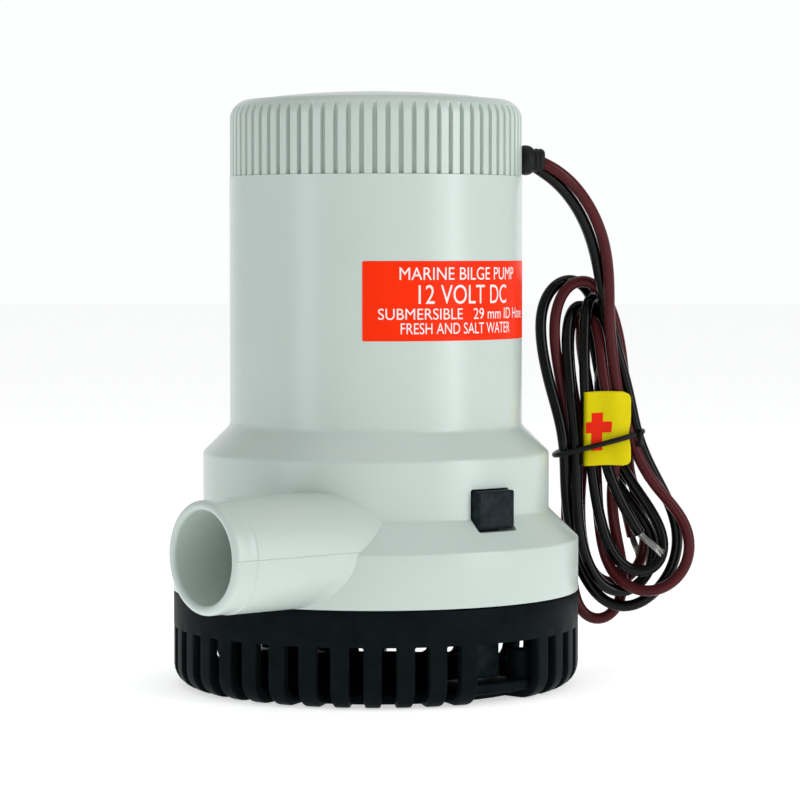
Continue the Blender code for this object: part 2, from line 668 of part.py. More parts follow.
def polarity_tag(look):
    """Small folded paper flag on the lead."""
    outline = rectangle(56.8 * MM, 69.6 * MM, 56.5 * MM, 76.5 * MM)
    return prism("polarity_tag", outline, HANK_FRONT + GAP, HANK_FRONT + 1.0 * MM, look, hank_frame())


def build():
    for obj in list(bpy.data.objects):
        bpy.data.objects.remove(obj, do_unlink=True)

    grey = material("housing_grey", (0.62, 0.68, 0.63), 0.42)
    grey_cap = material("cap_grey", (0.60, 0.66, 0.61), 0.45)
    black = material("strainer_black", (0.012, 0.015, 0.017), 0.45)
    button = material("latch_black", (0.015, 0.017, 0.019), 0.5)
    plate = material("plate_black", (0.02, 0.022, 0.024), 0.5)
    nylon = material("impeller_nylon", (0.05, 0.05, 0.055), 0.4)
    rubber = material("seal_rubber", (0.015, 0.015, 0.015), 0.8)
    gland = material("gland_rubber", (0.012, 0.012, 0.013), 0.6)
    mount_rubber = material("mount_rubber", (0.03, 0.03, 0.03), 0.85)
    steel = material("stainless", (0.62, 0.62, 0.60), 0.25, 1.0)
    can = material("can_steel", (0.55, 0.55, 0.52), 0.35, 1.0)
    brass = material("bearing_bronze", (0.72, 0.52, 0.25), 0.35, 1.0)
    ferrite = material("magnet_ferrite", (0.06, 0.06, 0.065), 0.7)
    core = material("core_steel", (0.30, 0.30, 0.31), 0.45, 1.0)
    copper = material("winding_copper", (0.62, 0.25, 0.10), 0.35, 1.0)
    card = material("card_brown", (0.28, 0.13, 0.05), 0.6)
    carbon = material("brush_carbon", (0.03, 0.03, 0.03), 0.6)
    label = material("label_orange", (0.90, 0.08, 0.01), 0.35)
    brown = material("wire_brown_pvc", (0.10, 0.022, 0.018), 0.35)
    black_pvc = material("wire_black_pvc", (0.01, 0.01, 0.011), 0.35)
    tie = material("tie_black", (0.01, 0.01, 0.01), 0.5)
    tag = material("tag_yellow", (0.80, 0.62, 0.01), 0.5)
    tinned = material("tinned_copper", (0.70, 0.68, 0.62), 0.3, 1.0)

    strainer_base(black)
    latch_arm("latch_right", 1, button)
    latch_arm("latch_left", -1, button)
    pump_housing(grey)
    top_cap(grey_cap)
    turned("cap_seal", arc((35.5 * MM, CAP_BOTTOM - 2.5 * MM), 0.62 * MM, 0, 270, 3), rubber, 48)
    cable_gland(gland)
    label_arc = wedge(39.2 * MM, 39.4 * MM, math.radians(-44.7), math.radians(44.7), 20)
    prism("rating_label", label_arc, 92.3 * MM, 112.7 * MM, label)

    volute_plate(plate)
    for number, degrees in enumerate((45.0, 135.0, 225.0), 1):
        plate_screw(f"plate_screw_{number}", degrees, steel)
    impeller(nylon)
    impeller_nut(steel)
    ring("thrust_washer", SHAFT_CLEAR, 7.0 * MM, 46.3 * MM, 47.1 * MM, brass, 24)
    ring("shaft_seal_lower", SHAFT_CLEAR, SEAL_BORE - GAP, 52.6 * MM, 56.6 * MM, rubber, 24)
    ring("shaft_seal_upper", SHAFT_CLEAR, SEAL_BORE - GAP, 56.9 * MM, 60.9 * MM, rubber, 24)
    ring("seal_retainer", SHAFT_CLEAR, SEAL_BORE - GAP, 61.2 * MM, 62.2 * MM, brass, 24)

    shaft = [(0.0, 24.6 * MM), (SHAFT_RADIUS - 0.4 * MM, 24.6 * MM), (SHAFT_RADIUS, 25.0 * MM),
             (SHAFT_RADIUS, 136.0 * MM), (SHAFT_RADIUS - 0.4 * MM, 136.4 * MM), (0.0, 136.4 * MM)]
    turned("motor_shaft", shaft, steel, 24)
    motor_can(can)
    motor_end_bell(can)
    ring("lower_bearing", SHAFT_CLEAR, BEARING_RADIUS, MOTOR_BOTTOM + GAP, MOTOR_BOTTOM + 5.8 * MM, brass, 24)
    ring("upper_bearing", SHAFT_CLEAR, BEARING_RADIUS, MOTOR_TOP + 0.6 * MM, MOTOR_TOP + 6.4 * MM, brass, 24)
    for name, middle in (("magnet_front", -90.0), ("magnet_rear", 90.0)):
        arc_outline = wedge(27.2 * MM, 31.1 * MM, math.radians(middle - 65.0), math.radians(middle + 65.0), 12)
        prism(name, arc_outline, 74.0 * MM, 112.0 * MM, ferrite)
    armature_core(core)
    armature_winding(copper)
    commutator(copper)
    brush_card(card)
    for number, side in ((1, 1), (2, -1)):
        carbon_brush(f"brush_{number}", side, carbon)
        brush_spring(f"brush_spring_{number}", side, steel)
    ring("motor_mount_lower", 26.0 * MM, 33.0 * MM, DECK_TOP + GAP, MOTOR_BOTTOM - GAP, mount_rubber, 36)
    ring("motor_mount_upper", MOTOR_RADIUS + GAP, NECK_BORE - GAP, 118.0 * MM, 126.0 * MM, mount_rubber, 48)
    low, high = lead_starts()
    inner_lead("inner_lead_brown", high, 1.7 * MM, brown)
    inner_lead("inner_lead_black", low, -1.7 * MM, black_pvc)

    tube("wire_brown", smooth_path(lead_route(-1.75 * MM, 0.0), 6.0 * MM), WIRE_RADIUS, brown)
    tube("wire_black", smooth_path(lead_route(1.75 * MM, 0.0), 6.0 * MM), WIRE_RADIUS, black_pvc)
    hank_solid(black_pvc)
    hank_tie(tie)
    polarity_tag(tag)
    front_tip = HANK_FRONT / MM + 1.4
    back_tip = (HANK_FRONT - HANK_DEPTH) / MM - 1.4
    tube("wire_tip_black", [at(70.5, front_tip, 38.0), at(76.5, front_tip, 33.0)], 1.0 * MM, tinned)
    tube("wire_tip_brown", [at(66.0, back_tip, 30.0), at(73.0, back_tip, 27.0)], 1.0 * MM, tinned)


build()
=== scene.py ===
import math

import bmesh
import bpy
import numpy as np
from mathutils import Matrix, Vector


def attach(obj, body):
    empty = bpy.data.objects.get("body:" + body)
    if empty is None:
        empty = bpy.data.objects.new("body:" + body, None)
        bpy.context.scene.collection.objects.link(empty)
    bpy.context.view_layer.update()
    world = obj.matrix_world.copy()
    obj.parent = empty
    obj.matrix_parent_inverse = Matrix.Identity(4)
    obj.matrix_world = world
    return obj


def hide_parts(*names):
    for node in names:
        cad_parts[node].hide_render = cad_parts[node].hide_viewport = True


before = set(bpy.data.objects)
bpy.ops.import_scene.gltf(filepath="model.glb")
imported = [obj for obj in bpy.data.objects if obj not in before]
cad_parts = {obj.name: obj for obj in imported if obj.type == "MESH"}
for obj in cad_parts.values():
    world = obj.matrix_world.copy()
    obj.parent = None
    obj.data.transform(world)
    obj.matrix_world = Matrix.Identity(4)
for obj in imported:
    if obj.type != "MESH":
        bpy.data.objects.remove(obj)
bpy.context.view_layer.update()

# ---------------------------------------------------------------- studio
# The pump stands on a wide white board, with a bright wall behind it and a dimmer room in front. A broad
# soft lamp and a narrow strip stand on the lead's side, a weaker lamp stands on the outlet's side, and one
# hangs overhead.
MM = 0.001
TURNED = math.radians(40.0)
SIDE = Vector((math.sin(TURNED), math.cos(TURNED), 0.0))
FRONT = Vector((math.cos(TURNED), -math.sin(TURNED), 0.0))
LENS_DOWN = math.radians(2.77)


def at(side, front, height):
    """A place in mm: to the lead's side of the pump's axis, towards the viewer, and up."""
    return SIDE * (side * MM) + FRONT * (front * MM) + Vector((0.0, 0.0, height * MM))


def show(name, mesh, look, smooth_angle=35.0):
    """Link a finished mesh as a piece, shaded smooth up to an angle."""
    mesh.shade_smooth()
    mesh.set_sharp_from_angle(angle=math.radians(smooth_angle))
    mesh.materials.clear()
    mesh.materials.append(look)
    piece = bpy.data.objects.new(name, mesh)
    bpy.context.scene.collection.objects.link(piece)
    return piece


def lamp(name, place, width, height, power):
    """A soft white lamp that faces the middle of the pump."""
    data = bpy.data.lights.new(name, "AREA")
    data.shape = "RECTANGLE"
    data.size = width
    data.size_y = height
    data.energy = power
    light = bpy.data.objects.new(name, data)
    light.location = place
    middle = at(0, 0, 80)
    light.rotation_euler = (middle - Vector(place)).to_track_quat("-Z", "Y").to_euler()
    bpy.context.scene.collection.objects.link(light)


world = bpy.data.worlds.new("studio_room")
world.use_nodes = True
room = world.node_tree
glow = room.nodes["Background"]
look_way = room.nodes.new("ShaderNodeTexCoord")
toward_back = room.nodes.new("ShaderNodeVectorMath")
toward_back.operation = "DOT_PRODUCT"
toward_back.inputs[1].default_value = tuple(-FRONT)
wall_to_back = room.nodes.new("ShaderNodeMapRange")
for socket, value in (("From Min", 0.6), ("From Max", 0.9), ("To Min", 0.37), ("To Max", 1.0)):
    wall_to_back.inputs[socket].default_value = value
room.links.new(look_way.outputs["Generated"], toward_back.inputs[0])
room.links.new(toward_back.outputs["Value"], wall_to_back.inputs["Value"])
room.links.new(wall_to_back.outputs["Result"], glow.inputs["Strength"])
glow.inputs["Color"].default_value = (0.985, 0.995, 1.0, 1.0)
bpy.context.scene.world = world
bpy.context.scene.view_settings.view_transform = "Standard"
lamp("lamp_lead_side", at(870, 510, 300), 0.55, 0.9, 3.1)
lamp("lamp_strip", at(820, 430, 420), 0.08, 0.8, 1.1)
lamp("lamp_outlet_side", at(-830, 600, 250), 0.3, 0.9, 1.5)
lamp("lamp_overhead", at(0, 0, 1100), 0.8, 0.8, 1.5)

board_mat = bpy.data.materials.new("studio_board")
board_mat.use_nodes = True
board_shader = board_mat.node_tree.nodes["Principled BSDF"]
for socket, value in (("Base Color", (0.95, 0.955, 0.96, 1.0)), ("Roughness", 0.9),
                      ("Specular IOR Level", 0.0), ("Emission Color", (1.0, 1.0, 1.0, 1.0)),
                      ("Emission Strength", 0.56)):
    board_shader.inputs[socket].default_value = value
board = bmesh.new()
bmesh.ops.create_circle(board, cap_ends=True, segments=96, radius=6.0)
board_mesh = bpy.data.meshes.new("studio_board")
board.to_mesh(board_mesh)
board.free()
show("studio_board", board_mesh, board_mat)

camera_data = bpy.data.cameras.new("camera")
camera_data.sensor_width = 36.0
camera_data.lens = 137.7
camera = bpy.data.objects.new("camera", camera_data)
camera.location = at(6.4, 816.0, 115.0)
camera.rotation_euler = (math.radians(90.0) - LENS_DOWN, 0.0, math.radians(90.0) - TURNED)
bpy.context.scene.collection.objects.link(camera)
bpy.context.scene.camera = camera

# ---------------------------------------------------------------- two-wire lead
# A brown and a black wire, 3.1 mm over their soft PVC, leave the gland together and are wound by hand
# into a hank that hangs beside the pump: right side down, left side up, drawn together at the tie.
WIRE = 3.1 * MM


def graph(mat):
    """The node tree of a material, with two short ways to add and link nodes."""
    tree = mat.node_tree

    def add(kind, **values):
        node = tree.nodes.new(kind)
        for key, value in values.items():
            if key in node.inputs:
                node.inputs[key].default_value = value
            else:
                setattr(node, key, value)
        return node
    return tree, add


def textured(tree, shader, place, tint, fine, ramp, gloss, bump):
    """Link a surface whose colour follows tint, and whose gloss and relief follow fine."""
    for source, target in ((place.outputs["Object"], tint.inputs["Vector"]),
                           (place.outputs["Object"], fine.inputs["Vector"]),
                           (tint.outputs["Fac"], ramp.inputs["Fac"]),
                           (ramp.outputs["Color"], shader.inputs["Base Color"]),
                           (fine.outputs["Fac"], gloss.inputs["Value"]),
                           (gloss.outputs["Result"], shader.inputs["Roughness"]),
                           (fine.outputs["Fac"], bump.inputs["Height"]),
                           (bump.outputs["Normal"], shader.inputs["Normal"])):
        tree.links.new(source, target)


def moulded(name, color, roughness, grain, relief, mottle=0.05, cloud=18.0, specular=0.5):
    """Moulded plastic or rubber: cloudy tint, fine grain in the surface and uneven gloss.
    grain is the size of the surface's fine texture and cloud that of its tint, both in mm."""
    mat = bpy.data.materials.new(name)
    mat.use_nodes = True
    tree, add = graph(mat)
    shader = tree.nodes["Principled BSDF"]
    shader.inputs["Specular IOR Level"].default_value = specular
    place = add("ShaderNodeTexCoord")
    tint = add("ShaderNodeTexNoise", Scale=1.0 / (cloud * MM), Detail=3.0, Roughness=0.55)
    fine = add("ShaderNodeTexNoise", Scale=1.0 / (grain * MM), Detail=2.0, Roughness=0.5)
    ramp = add("ShaderNodeValToRGB")
    ramp.color_ramp.elements[0].position = 0.3
    ramp.color_ramp.elements[1].position = 0.7
    ramp.color_ramp.elements[0].color = (*[c * (1.0 - mottle) for c in color], 1.0)
    ramp.color_ramp.elements[1].color = (*[min(1.0, c * (1.0 + mottle)) for c in color], 1.0)
    gloss = add("ShaderNodeMapRange")
    gloss.inputs["To Min"].default_value = roughness * 0.85
    gloss.inputs["To Max"].default_value = roughness * 1.2
    bump = add("ShaderNodeBump", Strength=1.0, Distance=relief * MM)
    textured(tree, shader, place, tint, fine, ramp, gloss, bump)
    return mat


def smooth_line(points, spacing):
    """A soft curve through listed points, evenly spaced."""
    points = np.array([[*p] for p in points])
    ends = np.vstack([2 * points[0] - points[1], points, 2 * points[-1] - points[-2]])
    dense = []
    for a, b, c, d in zip(ends, ends[1:], ends[2:], ends[3:]):
        for t in np.linspace(0.0, 1.0, 24, endpoint=False):
            dense.append(0.5 * (2 * b + (c - a) * t + (2 * a - 5 * b + 4 * c - d) * t * t
                                + (3 * b - a - 3 * c + d) * t ** 3))
    dense = np.array(dense + [points[-1]])
    for _ in range(2):
        walked = np.concatenate([[0.0], np.cumsum(np.linalg.norm(np.diff(dense, axis=0), axis=1))])
        count = int(walked[-1] / spacing) + 1
        steps = np.linspace(0.0, walked[-1], count)
        dense = np.stack([np.interp(steps, walked, dense[:, k]) for k in range(3)], axis=1)
        for _ in range(14):
            dense[1:-1] = 0.25 * dense[:-2] + 0.5 * dense[1:-1] + 0.25 * dense[2:]
    return dense


def wire(name, points, look, diameter=WIRE):
    """A round wire as one open poly curve with closed ends."""
    data = bpy.data.curves.new(name, "CURVE")
    data.dimensions = "3D"
    spline = data.splines.new("POLY")
    spline.points.add(len(points) - 1)
    for target, point in zip(spline.points, points):
        target.co = (*point, 1.0)
    data.bevel_depth = diameter / 2
    data.bevel_resolution = 4
    data.use_fill_caps = True
    data.materials.append(look)
    piece = bpy.data.objects.new(name, data)
    bpy.context.scene.collection.objects.link(piece)
    return piece


brown_pvc = moulded("brown_pvc", (0.072, 0.0085, 0.011), 0.20, 0.5, 0.0008, 0.12, 9.0, 0.15)
black_pvc = moulded("black_pvc", (0.0018, 0.0022, 0.0026), 0.13, 0.5, 0.0008, 0.15, 9.0, 0.18)

brown_out = [(42.6, -0.6, 139.6), (45.6, -0.8, 138.6), (49.0, -1.5, 136.6), (52.2, -3.2, 134.0),
             (55.3, -5.6, 130.4), (58.2, -8.6, 126.0), (60.6, -11.6, 121.0), (62.2, -14.2, 115.2),
             (62.9, -16.6, 108.7), (63.2, -18.0, 102.0), (63.4, -18.8, 95.0), (63.9, -19.2, 88.0),
             (64.7, -19.5, 80.0), (66.6, -19.8, 72.5), (69.4, -19.8, 64.5)]
black_out = [(42.4, -2.0, 137.6), (45.2, -2.5, 136.2), (48.3, -3.8, 133.8), (51.3, -6.0, 130.6),
             (54.3, -8.8, 126.6), (57.0, -12.0, 121.6), (59.3, -15.0, 115.6), (61.0, -18.2, 108.7),
             (62.4, -20.6, 102.0), (64.0, -22.0, 95.0), (65.9, -22.7, 88.0), (68.0, -23.0, 81.0),
             (69.8, -23.1, 73.5), (71.4, -23.0, 65.0)]
brown_wound = [
    (73.0, -19.9, 55.8), (77.6, -20.1, 49.3), (83.2, -20.4, 43.5), (86.5, -20.6, 35.5),
    (84.6, -20.8, 27.2), (79.4, -21.0, 22.4), (73.4, -21.6, 21.0), (67.8, -22.7, 23.0),
    (63.4, -23.3, 28.6), (61.6, -23.4, 37.0), (60.6, -23.2, 48.0), (60.0, -23.4, 61.5),
    (58.8, -26.4, 74.0), (57.2, -30.6, 85.0), (56.4, -31.6, 92.0), (57.8, -28.6, 98.6),
    (59.8, -23.4, 98.0), (61.4, -20.0, 90.0), (63.2, -19.4, 76.0), (65.5, -19.8, 63.6),
    (64.4, -20.3, 54.0), (64.6, -22.8, 45.0), (66.2, -26.6, 36.0), (68.6, -29.2, 25.0),
    (67.0, -29.8, 15.6), (61.4, -29.5, 11.6), (55.6, -28.6, 15.6), (54.0, -27.8, 26.0),
    (52.4, -26.6, 38.0), (52.4, -24.6, 50.0), (53.4, -22.9, 61.0), (52.0, -22.6, 72.0),
    (49.8, -21.8, 84.0), (48.4, -21.0, 94.0), (50.0, -20.6, 103.6), (55.2, -21.2, 108.6),
    (61.0, -23.2, 106.0), (65.4, -25.6, 97.0), (67.8, -26.2, 84.0), (69.2, -26.0, 63.8),
    (69.4, -27.6, 53.0), (73.6, -30.0, 42.0), (74.8, -31.6, 32.0), (71.0, -32.2, 24.6),
    (65.0, -32.2, 21.6), (59.6, -31.2, 25.4), (56.6, -29.0, 36.0), (56.0, -26.0, 48.0),
    (56.7, -23.0, 61.0), (54.6, -23.6, 72.0), (53.0, -25.0, 83.0), (53.4, -28.0, 93.0),
    (57.4, -32.0, 99.0), (62.4, -34.6, 95.0), (64.6, -34.4, 83.0), (65.3, -30.2, 63.6),
    (67.0, -30.6, 52.0), (69.4, -32.0, 43.0), (71.0, -32.8, 36.0)]
black_wound = [
    (75.4, -23.5, 55.5), (80.2, -24.4, 47.0), (83.2, -25.0, 38.0), (82.4, -25.6, 29.4),
    (77.6, -26.0, 21.4), (70.0, -26.6, 16.2), (62.4, -26.4, 18.2), (56.4, -25.6, 27.0),
    (53.4, -24.0, 38.0), (51.8, -21.6, 50.0), (51.6, -19.8, 60.5), (50.2, -20.0, 69.0),
    (47.0, -20.6, 80.0), (44.9, -21.2, 91.0), (45.0, -22.0, 100.2), (48.6, -23.2, 106.8),
    (53.4, -25.2, 108.4), (58.6, -28.6, 105.0), (61.2, -31.0, 94.0), (61.8, -31.6, 78.0),
    (61.5, -30.0, 62.8), (65.4, -28.6, 53.0), (72.4, -28.6, 44.0), (76.9, -28.4, 35.0),
    (76.2, -27.4, 27.2), (72.0, -25.6, 22.4), (66.6, -23.8, 20.4), (61.2, -22.0, 23.6),
    (56.8, -20.6, 32.5), (55.0, -20.0, 44.0), (54.7, -19.8, 61.0), (53.6, -20.0, 70.0),
    (52.6, -20.2, 80.0), (51.8, -20.8, 91.0), (53.0, -23.4, 99.6), (56.6, -27.4, 102.0),
    (60.0, -29.8, 96.0), (61.2, -29.2, 86.0), (62.6, -26.8, 75.0), (63.8, -24.2, 63.3),
    (68.2, -23.4, 54.5), (73.4, -23.6, 47.0), (78.2, -23.2, 39.5), (79.6, -22.3, 32.2),
    (76.6, -21.3, 27.3), (71.4, -20.5, 26.3), (66.0, -20.1, 29.8), (62.2, -19.9, 38.0),
    (60.0, -19.8, 48.0), (58.4, -19.8, 61.6), (57.4, -19.8, 72.0), (56.8, -19.8, 84.0),
    (56.8, -20.2, 95.0), (57.8, -23.0, 103.4), (60.0, -28.2, 103.6), (61.4, -30.0, 95.0),
    (61.6, -27.4, 84.0), (61.6, -23.0, 73.0), (62.0, -19.8, 62.8), (64.4, -18.9, 53.0),
    (67.8, -18.5, 45.0), (72.0, -18.4, 38.0)]


def walls_reach(heights):
    """The radius of the pump's outside at each height, which a wire beside it rests against."""
    return np.interp(heights, [0.0, 39.2 * MM, 47.0 * MM, 62.0 * MM, 69.1 * MM, 1.0],
                     [54.0 * MM, 54.0 * MM, 46.1 * MM, 46.1 * MM, 38.9 * MM, 38.9 * MM])


def settled(lines, rounds=60, free=9):
    """Push wires that pass through each other or the pump apart, in small smooth steps.
    free points at each wire's start stay where they are."""
    gap, stand_off, stride = 1.03 * WIRE, 0.55 * WIRE, 0.45
    rest = np.vstack(lines)
    count = len(rest)
    owner = np.repeat(np.arange(len(lines)), [len(line) for line in lines])
    order = np.arange(count)
    joined = (owner[:, None] == owner[None]) & (abs(order[:, None] - order[None]) < free)
    hold = np.ones(count)
    for number in range(len(lines)):
        hold[np.flatnonzero(owner == number)[:free]] = 0.0
    shift = np.zeros_like(rest)
    for _ in range(rounds):
        here = rest + shift
        apart = here[:, None] - here[None]
        distance = np.sqrt((apart ** 2).sum(axis=2)) + 1e-9
        deep = np.where(joined, 0.0, np.maximum(0.0, gap - distance))
        touching = np.maximum(1, (deep > 0).sum(axis=1))[:, None]
        push = (apart * (deep / distance)[:, :, None]).sum(axis=1) / touching
        radius = np.hypot(here[:, 0], here[:, 1])
        inward = np.maximum(0.0, walls_reach(here[:, 2]) + stand_off - radius)
        push[:, 0] += here[:, 0] / radius * inward
        push[:, 1] += here[:, 1] / radius * inward
        shift += stride * push * hold[:, None]
        for number in range(len(lines)):
            mine = np.flatnonzero(owner == number)
            part = shift[mine]
            part[1:-1] = 0.25 * part[:-2] + 0.5 * part[1:-1] + 0.25 * part[2:]
            shift[mine] = part
    here = rest + shift
    return [here[owner == number] for number in range(len(lines))]


brown_line, black_line = settled([smooth_line([at(*p) for p in brown_out + brown_wound], 1.2 * MM),
                                  smooth_line([at(*p) for p in black_out + black_wound], 1.2 * MM)])


brown_wire = wire("brown_wire", brown_line, brown_pvc)
black_wire = wire("black_wire", black_line, black_pvc)

# ---------------------------------------------------------------- bare ends of the wires
# Each wire's end is stripped for 8 mm: nineteen tinned copper strands, twisted and dipped in solder,
# which spread a little at the cut. The strands are one strand repeated round the wire's line.
STRAND = 0.42 * MM
STRANDS = 19
BUNDLE = 0.82 * MM
GOLDEN_ANGLE = 2.39996


def metal(name, color, roughness, scratch, relief=0.004):
    """Metal with fine uneven polish; scratch is the size of its marks in mm."""
    mat = bpy.data.materials.new(name)
    mat.use_nodes = True
    tree, add = graph(mat)
    shader = tree.nodes["Principled BSDF"]
    shader.inputs["Metallic"].default_value = 1.0
    place = add("ShaderNodeTexCoord")
    marks = add("ShaderNodeTexNoise", Scale=1.0 / (scratch * MM), Detail=4.0, Roughness=0.6)
    ramp = add("ShaderNodeValToRGB")
    ramp.color_ramp.elements[0].color = (*[c * 0.8 for c in color], 1.0)
    ramp.color_ramp.elements[1].color = (*[min(1.0, c * 1.1) for c in color], 1.0)
    gloss = add("ShaderNodeMapRange")
    gloss.inputs["To Min"].default_value = roughness * 0.7
    gloss.inputs["To Max"].default_value = roughness * 1.5
    bump = add("ShaderNodeBump", Strength=1.0, Distance=relief * MM)
    textured(tree, shader, place, marks, marks, ramp, gloss, bump)
    return mat


def node_tree(name, **inputs):
    """A geometry tree with named inputs. Returns the tree, its ends and a short way to add nodes."""
    tree = bpy.data.node_groups.new(name, "GeometryNodeTree")
    tree.interface.new_socket("Geometry", in_out="INPUT", socket_type="NodeSocketGeometry")
    for key, kind in inputs.items():
        tree.interface.new_socket(key, in_out="INPUT", socket_type="NodeSocket" + kind)
    tree.interface.new_socket("Geometry", in_out="OUTPUT", socket_type="NodeSocketGeometry")
    source = tree.nodes.new("NodeGroupInput")
    result = tree.nodes.new("NodeGroupOutput")

    def add(kind, *wires, **values):
        """Add a node, set its properties or inputs, and link the given sockets to its inputs in order."""
        node = tree.nodes.new(kind)
        for key, value in values.items():
            if hasattr(node, key) and key not in node.inputs:
                setattr(node, key, value)
            else:
                node.inputs[key].default_value = value
        for index, socket in enumerate(wires):
            if isinstance(socket, (int, float)):
                node.inputs[index].default_value = socket
            elif socket is not None:
                tree.links.new(socket, node.inputs[index])
        return node.outputs[0]
    return tree, source.outputs, result.inputs, add


def grown(name, mesh, tree, look, values, smooth_angle=35.0):
    """Run a geometry tree on a mesh and keep the plain result as a piece."""
    base = bpy.data.objects.new(name + "_base", mesh)
    bpy.context.scene.collection.objects.link(base)
    modifier = base.modifiers.new("grow", "NODES")
    modifier.node_group = tree
    for item in tree.interface.items_tree:
        if item.in_out == "INPUT" and item.name in values:
            modifier[item.identifier] = values[item.name]
    bpy.context.view_layer.update()
    depsgraph = bpy.context.evaluated_depsgraph_get()
    result = bpy.data.meshes.new_from_object(base.evaluated_get(depsgraph))
    bpy.data.objects.remove(base)
    result.name = name
    return show(name, result, look, smooth_angle)


# Painted shade: the tinned copper's colour is a dark grey, well below bright solder, for the shadow that the
# bare ends hang in.
tinned = metal("tinned_copper", (0.30, 0.30, 0.29), 0.34, 0.35)

strands, given, out, add = node_tree("strands", Count="Int", Spread="Float", Look="Material")
fan = add("GeometryNodeMeshCircle", given["Count"])
fan_ring = add("GeometryNodeSetPosition", fan)
index = add("GeometryNodeInputIndex")
turn = add("ShaderNodeMath", index, GOLDEN_ANGLE, operation="MULTIPLY")
reach_unit = add("ShaderNodeMath", index, given["Count"], operation="DIVIDE")
reach_root = add("ShaderNodeMath", reach_unit, 0.5, operation="POWER")
reach = add("ShaderNodeMath", reach_root, given["Spread"], operation="MULTIPLY")
cos_turn = add("ShaderNodeMath", turn, operation="COSINE")
sin_turn = add("ShaderNodeMath", turn, operation="SINE")
spot_x = add("ShaderNodeMath", cos_turn, reach, operation="MULTIPLY")
spot_y = add("ShaderNodeMath", sin_turn, reach, operation="MULTIPLY")
spot = add("ShaderNodeCombineXYZ", spot_x, spot_y)
strands.links.new(spot, fan_ring.node.inputs["Position"])
rods = add("GeometryNodeInstanceOnPoints", fan_ring)
strands.links.new(given["Geometry"], rods.node.inputs["Instance"])
real_rods = add("GeometryNodeRealizeInstances", rods)
painted_rods = add("GeometryNodeSetMaterial", real_rods)
strands.links.new(given["Look"], painted_rods.node.inputs["Material"])
strands.links.new(painted_rods, out["Geometry"])


def bare_end(name, start, end, seed):
    """A bundle of strands from start to end, twisted round its line and loosened at the cut."""
    length = (end - start).length
    rod = bmesh.new()
    rings, sides, twist_in_all = 10, 6, 1.3
    verts = []
    for i in range(rings + 1):
        ring = []
        for k in range(sides):
            angle = 2.0 * math.pi * k / sides
            ring.append(rod.verts.new((STRAND / 2 * math.cos(angle), STRAND / 2 * math.sin(angle),
                                       length * i / rings)))
        verts.append(ring)
    for low, high in zip(verts, verts[1:]):
        for k in range(sides):
            rod.faces.new((low[k], low[(k + 1) % sides], high[(k + 1) % sides], high[k]))
    rod.faces.new(verts[0][::-1])
    rod.faces.new(verts[-1])
    mesh = bpy.data.meshes.new(name)
    rod.to_mesh(mesh)
    rod.free()
    piece = grown(name, mesh, strands, tinned,
                  {"Count": STRANDS, "Spread": BUNDLE, "Look": tinned}, 50.0)
    rng = np.random.default_rng(seed)
    loosen = rng.uniform(-0.35, 0.35, (STRANDS, 2)) * MM
    shorten = rng.uniform(0.82, 1.0, STRANDS)
    turn_to = (end - start).to_track_quat("Z", "Y").to_matrix().to_4x4()
    per_strand = len(piece.data.vertices) // STRANDS
    for vertex in piece.data.vertices:
        number = min(STRANDS - 1, vertex.index // per_strand)
        share = vertex.co.z / length
        twist = Matrix.Rotation(twist_in_all * share, 4, "Z")
        spread = Vector((*(loosen[number] * share ** 2), 0.0))
        moved = twist @ Vector((vertex.co.x, vertex.co.y, 0.0)) + spread
        moved.z = vertex.co.z * (1.0 + (shorten[number] - 1.0) * share)
        vertex.co = start + turn_to @ moved
    return piece


black_tip = bare_end("black_wire_bare_end", Vector(black_line[-1]) - at(0.6, 0, -0.5),
                     at(78.4, -18.6, 32.4), 5)
brown_tip = bare_end("brown_wire_bare_end", Vector(brown_line[-1]), at(73.4, -33.4, 29.4), 9)
for tip, node in ((black_tip, "wire_tip_black"), (brown_tip, "wire_tip_brown")):
    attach(tip, "pump_body")
    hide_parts(node)

# ---------------------------------------------------------------- tie
# A thin plastic-covered wire tie goes once round the hank's waist, over the flag, and its two ends
# are twisted together on the side away from the pump.
TIE = 1.5 * MM
tie_plastic = moulded("tie_plastic", (0.006, 0.006, 0.0065), 0.42, 0.4, 0.02, 0.2, 3.0, 0.2)


def tie_height(side):
    """The tie's height in mm: it slopes up towards the lead's side."""
    return 59.4 + 0.27 * (side - 49.0)


tie_loop = []
for side, front in ((70.6, -17.0), (66.5, -15.5), (61.0, -15.4), (55.5, -16.3), (51.0, -17.3),
                    (48.9, -20.0), (49.0, -25.0), (51.0, -30.2), (56.0, -32.6), (62.0, -33.6),
                    (68.0, -31.8), (71.8, -28.0), (73.2, -23.5), (72.6, -19.6)):
    tie_loop.append(at(side, front, tie_height(side)))
TWIST_STEP, TWIST_R = 1.7, 0.75
for k in range(1, 8):
    angle = TWIST_STEP * k
    tie_loop.append(at(72.2 - 0.05 * k, -17.9 + TWIST_R * math.cos(angle),
                       66.4 - 0.55 * k + TWIST_R * math.sin(angle)))
tie = wire("hank_twist_tie", smooth_line(tie_loop, 0.5 * MM), tie_plastic, TIE)
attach(tie, "pump_body")
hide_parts("hank_tie")

# ---------------------------------------------------------------- polarity flag
# A slip of yellow coated paper, folded round the positive wire and glued to itself, with a red plus
# printed on it. It lies over the wires and the tie pinches it a third of the way up.
FLAG_LEFT, FLAG_RIGHT = 56.4, 69.4
FLAG_LOW, FLAG_HIGH = 56.6, 76.8


